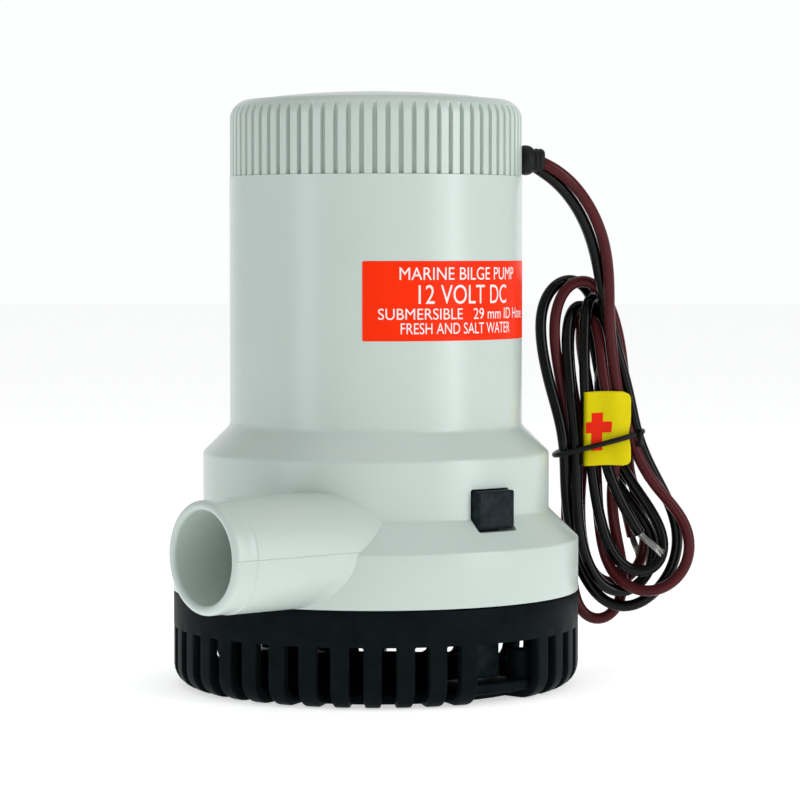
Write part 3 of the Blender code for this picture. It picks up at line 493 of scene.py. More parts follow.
def flag_place(u, v, lift=0.0):
    """A place on the flag: u from its folded edge to its free one, v from bottom to top, lift in mm."""
    side = FLAG_LEFT + (FLAG_RIGHT - FLAG_LEFT) * u
    height = FLAG_LOW + (FLAG_HIGH - FLAG_LOW) * v
    pinch = math.exp(-((height - tie_height(side) - 0.4) / 2.6) ** 2)
    side -= 0.5 * pinch * u
    bulge = 0.75 * math.sin(math.pi * min(1.0, 0.15 + 0.75 * u)) + 0.25 * math.sin(9.0 * u + 2.0 * v)
    fold = 2.6 * (max(0.0, 0.06 - u) / 0.06) ** 2
    front = -17.35 + bulge - fold - 0.55 * pinch + 0.5 * max(0.0, v - 0.75) + lift
    return at(side, front, height + 0.35 * math.sin(3.0 * u))


def skin(bm, grid):
    """Fill a grid of vertices with four-sided faces."""
    for low, high in zip(grid, grid[1:]):
        for i in range(len(low) - 1):
            bm.faces.new((low[i], low[i + 1], high[i + 1], high[i]))


def print_ink(name, color, roughness):
    """Thin printing ink: a plain colour with a fine grain and little shine."""
    return moulded(name, color, roughness, 0.15, 0.004, 0.06, 2.0, 0.1)


flag_paper = moulded("flag_paper", (0.78, 0.655, 0.003), 0.36, 0.25, 0.008, 0.05, 6.0, 0.08)
flag_red = print_ink("flag_red", (0.90, 0.022, 0.004), 0.4)
flag = bmesh.new()
columns, rows = 30, 40
corner = 0.16
grid = []
for j in range(rows + 1):
    v = j / rows
    row = []
    for i in range(columns + 1):
        u = i / columns
        edge_v = min(v, 1.0 - v) * (FLAG_HIGH - FLAG_LOW) / (FLAG_RIGHT - FLAG_LEFT)
        reach_u = 1.0
        if edge_v < corner:
            reach_u = 1.0 - corner + math.sqrt(max(0.0, corner ** 2 - (corner - edge_v) ** 2))
        row.append(flag.verts.new(flag_place(u * reach_u, v)))
    grid.append(row)
skin(flag, grid)
flag_mesh = bpy.data.meshes.new("polarity_flag")
flag.to_mesh(flag_mesh)
flag.free()
flag_piece = show("polarity_flag", flag_mesh, flag_paper, 60.0)
thick = flag_piece.modifiers.new("paper", "SOLIDIFY")
thick.thickness = 0.22 * MM
thick.offset = -1.0
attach(flag_piece, "pump_body")
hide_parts("polarity_tag")


def printed_on(name, shapes, place, look, step=0.04):
    """Flat shapes, each a list of (u, v) corners in a unit square, laid as ink on a curved surface."""
    ink = bmesh.new()
    for corners in shapes:
        ink.faces.new([ink.verts.new((u, v, 0.0)) for u, v in corners])
    cuts = int(1.0 / step)
    for k in range(1, cuts):
        for normal, spot in (((1, 0, 0), (k * step, 0, 0)), ((0, 1, 0), (0, k * step, 0))):
            bmesh.ops.bisect_plane(ink, geom=ink.verts[:] + ink.edges[:] + ink.faces[:], plane_co=spot,
                                   plane_no=normal)
    for vertex in ink.verts:
        vertex.co = place(vertex.co.x, vertex.co.y)
    mesh = bpy.data.meshes.new(name)
    ink.to_mesh(mesh)
    ink.free()
    return show(name, mesh, look, 60.0)


def bar(u0, u1, v0, v1):
    return [(u0, v0), (u1, v0), (u1, v1), (u0, v1)]


plus = [bar(0.17, 0.41, 0.20, 0.71), bar(0.05, 0.17, 0.44, 0.59), bar(0.41, 0.60, 0.44, 0.59)]
plus_mark = printed_on("flag_plus", plus, lambda u, v: flag_place(u, v, 0.06), flag_red)
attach(plus_mark, "pump_body")

for line, piece, tip, name, others in ((black_line, black_wire, black_tip, "black", [tie, flag_piece]),
                                       (brown_line, brown_wire, brown_tip, "brown", [])):
    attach(piece, "pump_body")
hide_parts("wire_brown")
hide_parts("wire_black", "wire_hank")

# ---------------------------------------------------------------- strainer base
# One black ABS moulding: a shallow bowl with a slot every nine degrees, cut right round its lower corner,
# a wide window at each latch, and a screw post beside each window. Its floor is left matt inside.
BASE_R = 54.0
BASE_WALL = 2.6
SLOT_HALF = 1.9
SLOT_TOP = 15.8
SLOT_ROOT = 43.0
PITCH = 9.0
RIB_SHARE = 0.72

black_abs = moulded("black_abs", (0.0052, 0.0082, 0.0094), 0.40, 0.35, 0.008, 0.25, 5.0, 0.02)
inside_abs = moulded("inside_abs", (0.0052, 0.0082, 0.0094), 0.85, 0.35, 0.03, 0.25, 5.0, 0.0)


def finished(name, bm, modifiers=()):
    """The plain mesh that a bmesh becomes under the given modifiers."""
    mesh = bpy.data.meshes.new(name)
    bm.to_mesh(mesh)
    bm.free()
    helper = bpy.data.objects.new(name + "_helper", mesh)
    bpy.context.scene.collection.objects.link(helper)
    for kind, settings in modifiers:
        modifier = helper.modifiers.new(kind.lower(), kind)
        for key, value in settings.items():
            setattr(modifier, key, value)
    bpy.context.view_layer.update()
    result = bpy.data.meshes.new_from_object(helper.evaluated_get(bpy.context.evaluated_depsgraph_get()))
    bpy.data.objects.remove(helper)
    return result


def edge_round(width, segments=2, angle=40.0):
    return ("BEVEL", {"width": width * MM, "segments": segments, "limit_method": "ANGLE",
                      "angle_limit": math.radians(angle), "harden_normals": False})


def arc_points(center, radius, start, end, steps):
    angles = [math.radians(start + (end - start) * i / steps) for i in range(steps + 1)]
    return [(center[0] + radius * math.cos(a), center[1] + radius * math.sin(a)) for a in angles]


def add_turned(bm, outline, around, matrix=Matrix(), closed=True):
    """Turn an outline of (radius, height) in mm round local Z. Points on the axis become one pole.
    around is how many columns there are, evenly spaced, or else the list of their angles."""
    turns = around if isinstance(around, list) else [math.tau * k / around for k in range(around)]
    segments = len(turns)
    rings = []
    for radius, height in outline:
        if radius < 1e-6:
            rings.append([bm.verts.new(matrix @ Vector((0.0, 0.0, height * MM)))])
            continue
        rings.append([bm.verts.new(matrix @ Vector((radius * MM * math.cos(turn),
                                                    radius * MM * math.sin(turn), height * MM)))
                      for turn in turns])
    pairs = list(zip(rings, rings[1:]))
    if closed:
        pairs.append((rings[-1], rings[0]))
    for low, high in pairs:
        if len(low) == 1 and len(high) == 1:
            continue
        for k in range(segments):
            n = (k + 1) % segments
            if len(low) == 1:
                bm.faces.new((low[0], high[n], high[k]))
            elif len(high) == 1:
                bm.faces.new((low[k], low[n], high[0]))
            else:
                bm.faces.new((low[k], low[n], high[n], high[k]))


def add_wedge(bm, inner, outer, start, end, low, high, steps=8):
    """A flat-topped sector of a ring, in mm and degrees."""
    angles = [math.radians(start + (end - start) * i / steps) for i in range(steps + 1)]
    outline = [(outer * math.cos(a), outer * math.sin(a)) for a in angles]
    outline += [(inner * math.cos(a), inner * math.sin(a)) for a in reversed(angles)]
    bottom = [bm.verts.new((x * MM, y * MM, low * MM)) for x, y in outline]
    top = [bm.verts.new((x * MM, y * MM, high * MM)) for x, y in outline]
    bm.faces.new(bottom[::-1])
    bm.faces.new(top)
    for k in range(len(outline)):
        n = (k + 1) % len(outline)
        bm.faces.new((bottom[k], bottom[n], top[n], top[k]))


bowl_rows = [(BASE_R, 24.9), (BASE_R, 22.0), (BASE_R, 18.5), (BASE_R, SLOT_TOP), (BASE_R, 11.0)]
bowl_rows += arc_points((BASE_R - 6.0, 6.0), 6.0, 0, -90, 7)
bowl_rows += [(SLOT_ROOT, 0.0), (38.0, 0.0), (28.0, 0.0)]
slot_rows = range(bowl_rows.index((BASE_R, SLOT_TOP)), bowl_rows.index((SLOT_ROOT, 0.0)))

bowl = bmesh.new()
bowl_grid = []
SLOTS = round(360.0 / PITCH)
COLUMNS = 6
for radius, height in bowl_rows:
    ring = []
    half = math.degrees(math.asin(SLOT_HALF / radius))
    for k in range(SLOTS):
        shoulder = half + (PITCH / 2 - half) * (1.0 - RIB_SHARE)
        for offset in (-PITCH / 2, -shoulder, -half, 0.0, half, shoulder):
            angle = math.radians(k * PITCH + offset)
            ring.append(bowl.verts.new((radius * MM * math.cos(angle), radius * MM * math.sin(angle),
                                        height * MM)))
    bowl_grid.append(ring)
columns_round = len(bowl_grid[0])
for row, (upper, lower) in enumerate(zip(bowl_grid, bowl_grid[1:])):
    for c in range(columns_round):
        k, part = divmod(c, COLUMNS)
        in_slot = part in (2, 3)
        beside = k % (SLOTS // 2)
        in_window = beside == 0 or (beside == 1 and part < 4) or (beside == SLOTS // 2 - 1 and part > 1)
        if row in slot_rows and (in_slot or in_window):
            continue
        n = (c + 1) % columns_round
        bowl.faces.new((lower[c], lower[n], upper[n], upper[c]))
bowl.faces.new(bowl_grid[-1][::-1])
for vertex in [v for v in bowl.verts if not v.link_faces]:
    bowl.verts.remove(vertex)
bowl_mesh = finished("strainer_bowl", bowl, [
    ("SOLIDIFY", {"thickness": BASE_WALL * MM, "offset": -1.0, "use_even_offset": True}),
    edge_round(0.4, 2)])

fittings = bmesh.new()
for half_turn in (0.0, 180.0):
    turn = Matrix.Rotation(math.radians(half_turn), 4, "Z")
    add_wedge(fittings, 38.0, 50.7, half_turn - 12.6, half_turn + 12.6, 2.45, 5.0)
    post = [(1.6, 2.6), (3.3, 2.6)] + arc_points((2.75, 11.95), 0.55, 0, 90, 4) + [(1.6, 12.5)]
    add_turned(fittings, post, 48, turn @ Matrix.Translation((45.4 * MM, 10.6 * MM, 0.0)))
for middle in (60.0, 120.0, 240.0):
    add_wedge(fittings, 49.0, 51.0, middle - 8.6, middle + 8.6, 22.0, 29.4)
fittings_mesh = finished("strainer_fittings", fittings, [edge_round(0.3, 2)])

whole_base = bmesh.new()
whole_base.from_mesh(bowl_mesh)
whole_base.from_mesh(fittings_mesh)
base_mesh = finished("strainer_bowl_whole", whole_base)
strainer = show("strainer", base_mesh, black_abs)
strainer.data.materials.append(inside_abs)
for face in strainer.data.polygons:
    if face.normal.z > 0.9 and face.center.z < (BASE_WALL + 0.4) * MM:
        face.material_index = 1
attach(strainer, "pump_body")
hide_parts("strainer_base")

# ---------------------------------------------------------------- latches
# Each latch is a springy arm that stands up from the base, with a square button on its upper end. The
# button comes out through a window in the housing and is pressed inwards to let the housing go.
latch_abs = moulded("latch_abs", (0.010, 0.017, 0.020), 0.36, 0.25, 0.016, 0.5, 2.2, 0.09)
ARM_HALF = 6.0
ARM_FOOT = 5.35
ARM_FACES = (40.3, 42.8)
BUTTON_FACE = 48.6
BUTTON_SPAN = (44.1, 54.1)

for side_name, sign in (("right", 1.0), ("left", -1.0)):
    arm_lo, arm_hi = ARM_FACES
    low, high = BUTTON_SPAN
    outline = [(arm_lo, ARM_FOOT), (arm_hi, ARM_FOOT), (arm_hi, low), (BUTTON_FACE - 0.8, low),
               (BUTTON_FACE, low + 0.8), (BUTTON_FACE, high), (arm_lo, high)]
    latch = bmesh.new()
    faces = []
    for y in (-ARM_HALF, ARM_HALF):
        faces.append([latch.verts.new((sign * x * MM, y * MM, z * MM)) for x, z in outline])
    latch.faces.new(faces[0])
    latch.faces.new(faces[1][::-1])
    for k in range(len(outline)):
        n = (k + 1) % len(outline)
        latch.faces.new((faces[0][n], faces[0][k], faces[1][k], faces[1][n]))
    bmesh.ops.recalc_face_normals(latch, faces=latch.faces)
    latch_mesh = finished(f"latch_button_{side_name}", latch, [edge_round(0.5, 3, 30.0)])
    latch_piece = show(f"latch_button_{side_name}", latch_mesh, latch_abs)
    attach(latch_piece, f"latch_{side_name}")
    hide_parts(f"latch_{side_name}")

# ---------------------------------------------------------------- pump housing
# One pale grey ABS moulding carries the motor above and the round pump chamber below. Its outlet tube
# leaves the chamber sideways, and its skirt goes down to the strainer. The mould broke all edges slightly.
NECK_R = 38.9
MID_R = 46.1
CHAMBER_R = 34.8
OUTLET_R = 14.5
OUTLET_BORE = 11.8
OUTLET_AT = (24.0, 39.8)
MOUTH = 75.5

grey_abs = moulded("grey_abs", (0.575, 0.665, 0.62), 0.25, 0.45, 0.002, 0.018, 40.0, 0.5)


def rounded(corners, steps=5):
    """Replace each corner (radius, height, rounding) of a closed outline by an arc of its rounding."""
    points = []
    count = len(corners)
    for i, (x, y, rounding) in enumerate(corners):
        here = Vector((x, y))
        before = Vector(corners[i - 1][:2]) - here
        after = Vector(corners[(i + 1) % count][:2]) - here
        if rounding == 0.0:
            points.append((x, y))
            continue
        half = before.angle(after) / 2
        reach = rounding / math.tan(half)
        inward = (before.normalized() + after.normalized()).normalized()
        middle = here + inward * (rounding / math.sin(half))
        start = here + before.normalized() * reach - middle
        end = here + after.normalized() * reach - middle
        turn = start.angle_signed(end)
        for k in range(steps + 1):
            spoke = Matrix.Rotation(-turn * k / steps, 2) @ start
            points.append((middle.x + spoke.x, middle.y + spoke.y))
    return points


shell_outline = rounded([
    (NECK_R, 134.9, 0.08), (NECK_R, 69.1, 2.5), (MID_R, 62.0, 1.6), (MID_R, 47.0, 1.2), (BASE_R, 39.2, 0.9),
    (BASE_R, 25.25, 0.3), (51.4, 25.25, 0.0), (51.4, 38.2, 0.0), (43.7, 46.0, 0.0), (43.7, 60.7, 0.0),
    (37.2, 67.0, 0.0), (37.2, 24.5, 0.0), (CHAMBER_R, 24.5, 0.0), (CHAMBER_R, 52.0, 0.0), (8.0, 52.0, 0.0),
    (8.0, 63.5, 0.0), (10.5, 63.5, 0.0), (10.5, 55.0, 0.0), (CHAMBER_R, 55.0, 0.0), (CHAMBER_R, 70.0, 0.0),
    (36.3, 71.5, 0.0), (36.3, 134.9, 0.0)])
shell = bmesh.new()
add_turned(shell, shell_outline, 192)
bmesh.ops.recalc_face_normals(shell, faces=shell.faces)

outlet_frame = (Matrix.Translation((OUTLET_AT[0] * MM, 0.0, OUTLET_AT[1] * MM))
                @ Matrix.Rotation(math.pi / 2, 4, "X"))
RING_AT = MOUTH - 6.4
rod_outline = [(0.0, 8.5), (OUTLET_R, 8.5)]
rod_outline += [(OUTLET_R, y) for y in (24.0, 40.0, 56.0)]
rod_outline += [(OUTLET_R, RING_AT - 0.4), (OUTLET_R - 0.16, RING_AT - 0.1),
                (OUTLET_R - 0.22, RING_AT + 0.4), (OUTLET_R - 0.22, RING_AT + 2.5)]
rod_outline += arc_points((OUTLET_R - 1.5, MOUTH - 1.3), 1.3, 0, 90, 6) + [(0.0, MOUTH)]
rod = bmesh.new()
SEAM = 0.16 * MM
SEAM_HALF = 0.9
rod_turns = sorted(math.radians(a) for a in [2.0 * k for k in range(180)]
                   + [side + sign * SEAM_HALF for side in (0.0, 180.0) for sign in (1.0, -1.0)])
add_turned(rod, rod_outline, rod_turns, outlet_frame, closed=False)
for vertex in rod.verts:
    across = vertex.co.x - OUTLET_AT[0] * MM
    above = vertex.co.z - OUTLET_AT[1] * MM
    if abs(above) < 0.1 * MM and abs(across) > 13.0 * MM:
        vertex.co.x += math.copysign(SEAM, across)
bmesh.ops.recalc_face_normals(rod, faces=rod.faces)

bore = bmesh.new()
bore_outline = [(0.0, 6.0), (OUTLET_BORE, 6.0)]
bore_outline += arc_points((OUTLET_BORE + 1.1, MOUTH - 1.1), 1.1, 180, 90, 5)
bore_outline += [(OUTLET_BORE + 1.1, MOUTH + 3.0), (0.0, MOUTH + 3.0)]
add_turned(bore, bore_outline, 120, outlet_frame, closed=False)
bmesh.ops.recalc_face_normals(bore, faces=bore.faces)

chamber = bmesh.new()
add_turned(chamber, [(0.0, 24.0), (CHAMBER_R, 24.0), (CHAMBER_R, 52.0), (0.0, 52.0)], 192, closed=False)
bmesh.ops.recalc_face_normals(chamber, faces=chamber.faces)

windows = bmesh.new()
for sign in (1.0, -1.0):
    made = bmesh.ops.create_cube(windows, size=1.0)["verts"]
    for vertex in made:
        vertex.co = Vector((sign * 50.5 * MM + vertex.co.x * 19.0 * MM, vertex.co.y * 12.9 * MM,
                            49.1 * MM + vertex.co.z * 10.9 * MM))


def helper_object(name, mesh):
    """A linked object that only lends its shape, and is removed afterwards."""
    piece = bpy.data.objects.new(name, mesh)
    bpy.context.scene.collection.objects.link(piece)
    return piece


window_mesh = finished("latch_windows", windows, [edge_round(0.6, 3)])
cutters = [("UNION", helper_object("rod_helper", finished("outlet_rod", rod))),
           ("DIFFERENCE", helper_object("bore_helper", finished("outlet_bore", bore))),
           ("DIFFERENCE", helper_object("chamber_helper", finished("chamber_bore", chamber))),
           ("DIFFERENCE", helper_object("window_helper", window_mesh))]
housing_mesh = finished("housing", shell, [
    ("BOOLEAN", {"operation": operation, "object": helper, "solver": "EXACT"})
    for operation, helper in cutters])
for _, helper in cutters:
    bpy.data.objects.remove(helper)
housing = show("housing", housing_mesh, grey_abs, 28.0)
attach(housing, "pump_body")
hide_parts("pump_housing")

# ---------------------------------------------------------------- top cap
# The press-on lid has seventy-two grip grooves moulded into its wall. Each groove starts at the lid's lower
# edge, has sloped sides, and runs out through the rounding at the top.
CAP_R = 38.75
CAP_LOW = 134.93
CAP_CORNER = 5.2
CAP_TOP = 157.4
GROOVES = 72
GROOVE_WIDTH = 1.35
GROOVE_DEPTH = 1.3
GROOVE_LOW = 133.9
SOFT = 0.22

cap_abs = moulded("cap_abs", (0.565, 0.65, 0.605), 0.30, 0.45, 0.003, 0.018, 40.0, 0.5)

grooving, given, out, add = node_tree("grip_grooves", Count="Int", Width="Float", Depth="Float",
                                      Low="Float", Radius="Float", Softness="Float", Look="Material")
place = add("GeometryNodeInputPosition")
spot = add("ShaderNodeSeparateXYZ", place).node.outputs
flat_spot = add("ShaderNodeCombineXYZ", spot["X"], spot["Y"])
reach = add("ShaderNodeVectorMath", flat_spot, operation="LENGTH").node.outputs["Value"]
angle = add("ShaderNodeMath", spot["Y"], spot["X"], operation="ARCTAN2")
cell_angle = add("ShaderNodeMath", math.tau, given["Count"], operation="DIVIDE")
cell = add("ShaderNodeMath", angle, cell_angle, operation="DIVIDE")
nearest = add("ShaderNodeMath", cell, operation="ROUND")
off_share = add("ShaderNodeMath", cell, nearest, operation="SUBTRACT")
off_angle = add("ShaderNodeMath", off_share, cell_angle, operation="MULTIPLY")
off_middle = add("ShaderNodeMath", off_angle, given["Radius"], operation="MULTIPLY")
half_width = add("ShaderNodeMath", given["Width"], 2.0, operation="DIVIDE")
end_middle = add("ShaderNodeMath", given["Low"], half_width, operation="ADD")
below_end = add("ShaderNodeMath", end_middle, spot["Z"], operation="SUBTRACT")
below = add("ShaderNodeMath", below_end, 0.0, operation="MAXIMUM")
away_vector = add("ShaderNodeCombineXYZ", off_middle, below)
away = add("ShaderNodeVectorMath", away_vector, operation="LENGTH").node.outputs["Value"]
inside = add("ShaderNodeMath", half_width, away, operation="SUBTRACT")
inside_share = add("ShaderNodeMath", inside, given["Softness"], operation="DIVIDE", use_clamp=True)
cut = add("ShaderNodeMath", inside_share, given["Depth"], operation="MULTIPLY")
limit = add("ShaderNodeMath", given["Radius"], cut, operation="SUBTRACT")
shrink = add("ShaderNodeMath", limit, reach, operation="DIVIDE")
shrink_to = add("ShaderNodeMath", shrink, 1.0, operation="MINIMUM")
new_x = add("ShaderNodeMath", spot["X"], shrink_to, operation="MULTIPLY")
new_y = add("ShaderNodeMath", spot["Y"], shrink_to, operation="MULTIPLY")
new_spot = add("ShaderNodeCombineXYZ", new_x, new_y, spot["Z"])
grooved = add("GeometryNodeSetPosition", given["Geometry"])
grooving.links.new(new_spot, grooved.node.inputs["Position"])
grooved_real = add("GeometryNodeRealizeInstances", grooved)
grooved_look = add("GeometryNodeSetMaterial", grooved_real)
grooving.links.new(given["Look"], grooved_look.node.inputs["Material"])
grooving.links.new(grooved_look, out["Geometry"])

cap_rows = [(CAP_R - 0.06, CAP_LOW), (CAP_R, CAP_LOW + 0.06), (CAP_R, 138.0), (CAP_R, 142.0), (CAP_R, 146.0)]
cap_rows += arc_points((CAP_R - CAP_CORNER, CAP_TOP - 7.4), CAP_CORNER, 0, 74, 16)
cap_rows += [(31.5, 155.3), (28.0, 155.8), (23.0, 156.3), (18.0, 156.7), (12.0, 157.05), (6.0, 157.3),
             (0.0, CAP_TOP)]
cap_inside = [(0.0, 154.9), (24.0, 154.0), (33.5, 152.4), (36.3, 150.0), (36.3, 136.0), (33.6, 135.0),
              (33.6, 130.1), (36.0, 130.1), (36.0, CAP_LOW)]
half_groove = math.degrees(GROOVE_WIDTH / 2 / CAP_R)
soft_groove = math.degrees(SOFT / CAP_R)
half_pitch = 180.0 / GROOVES
column_offsets = [-half_pitch, -half_groove - 0.35, -half_groove, -half_groove + soft_groove / 2,
                  -half_groove + soft_groove, 0.0, half_groove - soft_groove, half_groove - soft_groove / 2,
                  half_groove, half_groove + 0.35]
cap = bmesh.new()
cap_grid = []
for radius, height in cap_rows + cap_inside:
    if radius == 0.0:
        cap_grid.append([cap.verts.new((0.0, 0.0, height * MM))])
        continue
    ring = []
    for k in range(GROOVES):
        for offset in column_offsets:
            turn = math.radians(k * 360.0 / GROOVES + offset)
            ring.append(cap.verts.new((radius * MM * math.cos(turn), radius * MM * math.sin(turn),
                                       height * MM)))
    cap_grid.append(ring)
around = GROOVES * len(column_offsets)
for low, high in zip(cap_grid, cap_grid[1:] + cap_grid[:1]):
    for k in range(around):
        n = (k + 1) % around
        if len(low) == 1 and len(high) == 1:
            break
        if len(low) == 1:
            cap.faces.new((low[0], high[n], high[k]))
        elif len(high) == 1:
            cap.faces.new((low[k], low[n], high[0]))
        else:
            cap.faces.new((low[k], low[n], high[n], high[k]))
bmesh.ops.recalc_face_normals(cap, faces=cap.faces)
cap_mesh = bpy.data.meshes.new("cap")
cap.to_mesh(cap_mesh)
cap.free()
cap_piece = grown("cap", cap_mesh, grooving, cap_abs,
                  {"Count": GROOVES, "Width": GROOVE_WIDTH * MM, "Depth": GROOVE_DEPTH * MM,
                   "Low": GROOVE_LOW * MM, "Radius": CAP_R * MM, "Softness": SOFT * MM,
                   "Look": cap_abs}, 30.0)
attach(cap_piece, "pump_body")
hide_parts("top_cap")

# ---------------------------------------------------------------- cable gland
# A black rubber boot is pulled through a hole in the lid's wall. Outside it is a domed collar and a
# shorter neck with two soft rings, from which the wires come out.
gland_rubber = moulded("gland_rubber", (0.006, 0.0065, 0.007), 0.48, 0.3, 0.015, 0.2, 3.0, 0.2)
GLAND_WAY = math.radians(52.0)
GLAND_Z = 139.4
gland_frame = (Matrix.Translation((0.0, 0.0, GLAND_Z * MM)) @ Matrix.Rotation(GLAND_WAY, 4, "Z")
               @ Matrix.Rotation(math.pi / 2, 4, "Y"))
gland_outline = [
    (0.0, 36.5), (2.8, 36.5), (2.8, 38.6), (3.75, 38.8), (3.98, 39.3), (4.0, 39.9), (3.92, 40.6),
    (3.7, 41.2), (3.4, 41.65), (3.08, 41.95), (2.98, 42.15), (3.0, 42.3), (3.16, 42.5), (3.2, 42.8),
    (3.1, 43.05), (2.98, 43.2), (2.98, 43.35), (3.1, 43.55), (3.1, 43.9), (2.96, 44.3), (2.7, 44.7),
    (2.3, 44.95), (0.0, 45.05)]
gland = bmesh.new()
add_turned(gland, gland_outline, 64, gland_frame, closed=False)
bmesh.ops.recalc_face_normals(gland, faces=gland.faces)
gland_piece = show("gland_boot", finished("gland_boot", gland), gland_rubber, 60.0)
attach(gland_piece, "pump_body")
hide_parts("cable_gland")

# ---------------------------------------------------------------- rating label
# A red-orange foil label is stuck round the front of the neck, with four lines of white print that say
# in general words what the pump is.
LABEL_LOW, LABEL_HIGH = 92.3, 112.7
LABEL_HALF = 44.7
LABEL_R = NECK_R + 0.09

label_red = moulded("label_red", (0.98, 0.030, 0.002), 0.33, 0.2, 0.002, 0.03, 8.0, 0.07)
label_white = print_ink("label_white", (0.84, 0.85, 0.84), 0.42)


def on_neck(u, v, radius=LABEL_R):
    """A place on the neck from degrees round from +X and height in mm."""
    turn = math.radians(u)
    return Vector((radius * MM * math.cos(turn), radius * MM * math.sin(turn), v * MM))


label = bmesh.new()
label_grid = []
corner = 0.4
label_rows, label_columns = 24, 80
for j in range(label_rows + 1):
    v = j / label_rows
    height = LABEL_LOW + (LABEL_HIGH - LABEL_LOW) * (0.5 - 0.5 * math.cos(math.pi * v))
    edge = min(height - LABEL_LOW, LABEL_HIGH - height)
    trim = corner - math.sqrt(max(0.0, corner ** 2 - (corner - edge) ** 2)) if edge < corner else 0.0
    half = LABEL_HALF - math.degrees(trim / LABEL_R)
    label_grid.append([label.verts.new(on_neck(-half + 2 * half * i / label_columns, height))
                       for i in range(label_columns + 1)])
skin(label, label_grid)
bmesh.ops.recalc_face_normals(label, faces=label.faces)
label_piece = show("label", finished("label", label, [
    ("SOLIDIFY", {"thickness": 0.07 * MM, "offset": -1.0})]), label_red, 40.0)
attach(label_piece, "pump_body")
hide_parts("rating_label")

# Each line: its words, where it starts and ends along the label, its foot and its letters' height, in mm.
# CAPITAL is the height of the font's capital letters at size 1.
CAPITAL = 0.69
LINES = [("MARINE BILGE PUMP", 9.5, 49.0, 107.9, 3.2), ("12 VOLT DC", 14.5, 44.5, 101.8, 4.8),
         ("SUBMERSIBLE   29 mm ID Hose", 4.0, 56.5, 97.8, 2.8), ("FRESH AND SALT WATER", 9.8, 46.5, 94.1, 2.8)]
for number, (words, start, end, foot, tall) in enumerate(LINES, 1):
    text = bpy.data.curves.new(f"label_line_{number}", "FONT")
    text.body = words
    text.resolution_u = 6
    letters = helper_object(f"label_letters_{number}", text)
    bpy.context.view_layer.update()
    depsgraph = bpy.context.evaluated_depsgraph_get()
    line_mesh = bpy.data.meshes.new_from_object(letters.evaluated_get(depsgraph))
    bpy.data.objects.remove(letters)
    left = min(v.co.x for v in line_mesh.vertices)
    wide = max(v.co.x for v in line_mesh.vertices) - left
    print_bm = bmesh.new()
    print_bm.from_mesh(line_mesh)
    for k in range(1, 60):
        bmesh.ops.bisect_plane(print_bm, geom=print_bm.verts[:] + print_bm.edges[:] + print_bm.faces[:],
                               plane_co=(left + wide * k / 60, 0, 0), plane_no=(1, 0, 0))
    for vertex in print_bm.verts:
        along = start + (end - start) * (vertex.co.x - left) / wide
        vertex.co = on_neck(-LABEL_HALF + math.degrees(along / LABEL_R), foot + vertex.co.y * tall / CAPITAL,
                            LABEL_R + 0.03)
    print_mesh = bpy.data.meshes.new(f"label_line_{number}")
    print_bm.to_mesh(print_mesh)
    print_bm.free()
    line_piece = show(f"label_line_{number}", print_mesh, label_white, 60.0)
    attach(line_piece, "pump_body")

# ---------------------------------------------------------------- plate screws
# Three stainless pan-head screws hold the volute plate to the housing's bosses. One screw with a cross
# recess is modelled and repeated at the three bosses.
steel = metal("stainless_steel", (0.60, 0.60, 0.58), 0.28, 0.8)

screw = bmesh.new()
screw_outline = [(0.0, 19.9), (0.5, 19.6)] + arc_points((0.9, 21.3), 2.1, -75, -8, 7)
screw_outline += [(3.05, 21.45), (1.55, 21.5), (1.55, 32.0), (0.0, 33.0)]
add_turned(screw, screw_outline, 32, closed=False)
bmesh.ops.recalc_face_normals(screw, faces=screw.faces)
cross = bmesh.new()
for turn in (0.0, math.pi / 2):
    made = bmesh.ops.create_cube(cross, size=1.0)["verts"]
    bmesh.ops.scale(cross, vec=(2.9 * MM, 0.6 * MM, 2.4 * MM), verts=made)
    bmesh.ops.rotate(cross, cent=(0, 0, 0), matrix=Matrix.Rotation(turn + 0.4, 3, "Z"), verts=made)
    bmesh.ops.translate(cross, vec=(0, 0, 19.4 * MM), verts=made)
cross_helper = helper_object("cross_helper", finished("cross_recess", cross))
screw_mesh = finished("pan_head_screw", screw, [
    ("BOOLEAN", {"operation": "DIFFERENCE", "object": cross_helper, "solver": "EXACT", "use_self": True})])
bpy.data.objects.remove(cross_helper)

bosses, given, out, add = node_tree("screws_on_bosses", Count="Int", Radius="Float", First="Float",
                                    Step="Float", Look="Material")
spots = add("GeometryNodeMeshLine", given["Count"])
number = add("GeometryNodeInputIndex")
step_turn = add("ShaderNodeMath", number, given["Step"], operation="MULTIPLY")
boss_turn = add("ShaderNodeMath", step_turn, given["First"], operation="ADD")
boss_cos = add("ShaderNodeMath", boss_turn, operation="COSINE")
boss_sin = add("ShaderNodeMath", boss_turn, operation="SINE")
boss_x = add("ShaderNodeMath", boss_cos, given["Radius"], operation="MULTIPLY")
boss_y = add("ShaderNodeMath", boss_sin, given["Radius"], operation="MULTIPLY")
boss_spot = add("ShaderNodeCombineXYZ", boss_x, boss_y)
placed = add("GeometryNodeSetPosition", spots)
bosses.links.new(boss_spot, placed.node.inputs["Position"])
screws_on = add("GeometryNodeInstanceOnPoints", placed)
bosses.links.new(given["Geometry"], screws_on.node.inputs["Instance"])
real_screws = add("GeometryNodeRealizeInstances", screws_on)
screws_look = add("GeometryNodeSetMaterial", real_screws)
bosses.links.new(given["Look"], screws_look.node.inputs["Material"])
bosses.links.new(screws_look, out["Geometry"])
screws = grown("plate_screws", screw_mesh, bosses, steel,
               {"Count": 3, "Radius": 40.2 * MM, "First": math.pi / 4, "Step": math.pi / 2, "Look": steel})
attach(screws, "pump_body")
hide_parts("plate_screw_1", "plate_screw_2", "plate_screw_3")

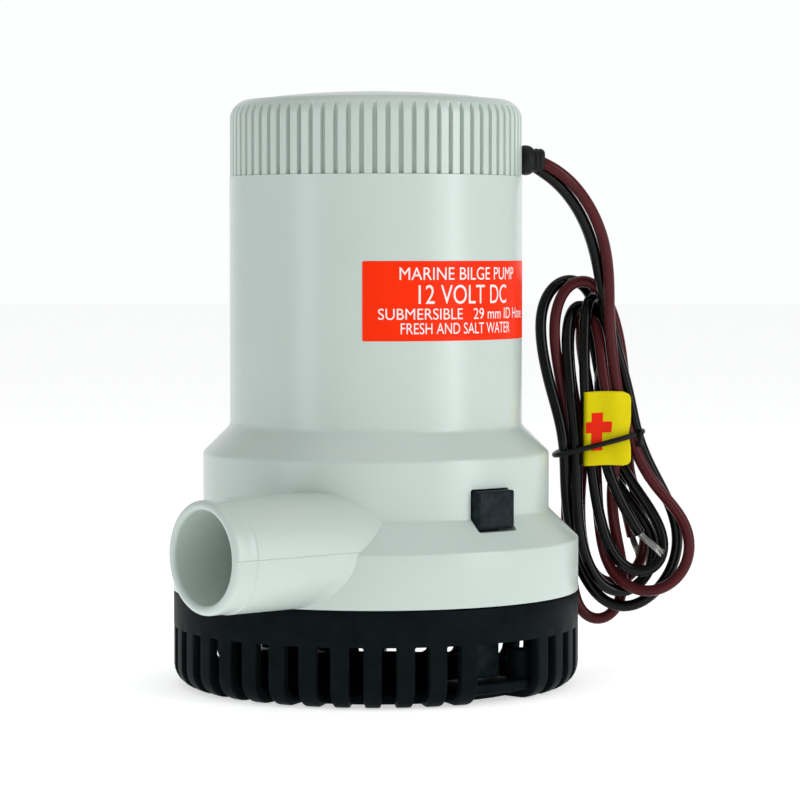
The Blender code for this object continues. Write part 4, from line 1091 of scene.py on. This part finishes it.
# ---------------------------------------------------------------- inner works
# The pieces inside keep their solids: the plate, impeller, seals, shaft and motor. Each gets the finish of
# its real material, since they show through the inlet, the outlet and the strainer's slots.
finishes = {
    "plate_abs": (moulded("plate_abs", (0.012, 0.014, 0.015), 0.45, 0.4, 0.015, 0.2, 6.0), ("volute_plate",)),
    "impeller_nylon": (moulded("impeller_nylon", (0.55, 0.55, 0.50), 0.5, 0.4, 0.015, 0.06, 8.0),
                       ("impeller",)),
    "shaft_steel": (metal("shaft_steel", (0.58, 0.58, 0.57), 0.25, 0.4),
                    ("motor_shaft", "impeller_nut", "thrust_washer", "seal_retainer", "brush_spring_1",
                     "brush_spring_2")),
    "seal_rubber": (moulded("seal_rubber", (0.012, 0.012, 0.012), 0.6, 0.2, 0.02, 0.2, 2.0),
                    ("shaft_seal_lower", "shaft_seal_upper", "cap_seal", "motor_mount_lower",
                     "motor_mount_upper")),
    "plated_can": (metal("plated_can", (0.50, 0.50, 0.48), 0.38, 1.5), ("motor_can", "motor_end_bell")),
    "sintered_bronze": (metal("sintered_bronze", (0.42, 0.26, 0.12), 0.5, 0.15, 0.02),
                        ("upper_bearing", "lower_bearing")),
    "ferrite": (moulded("ferrite", (0.035, 0.035, 0.037), 0.7, 0.3, 0.03, 0.2, 2.0),
                ("magnet_front", "magnet_rear")),
    "lamination_steel": (metal("lamination_steel", (0.30, 0.30, 0.31), 0.42, 0.5), ("armature_core",)),
    "copper_wire": (metal("copper_wire", (0.60, 0.24, 0.10), 0.32, 0.3, 0.05),
                    ("armature_winding", "commutator")),
    "phenolic_card": (moulded("phenolic_card", (0.11, 0.045, 0.018), 0.5, 0.3, 0.01, 0.1, 5.0),
                      ("brush_card",)),
    "carbon": (moulded("carbon", (0.02, 0.02, 0.021), 0.6, 0.2, 0.02, 0.2, 1.0), ("brush_1", "brush_2")),
    "lead_brown": (brown_pvc, ("inner_lead_brown",)),
    "lead_black": (black_pvc, ("inner_lead_black",)),
}
for look, names in finishes.values():
    for node_name in names:
        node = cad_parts[node_name]
        for slot_number in range(len(node.material_slots)):
            node.material_slots[slot_number].material = look
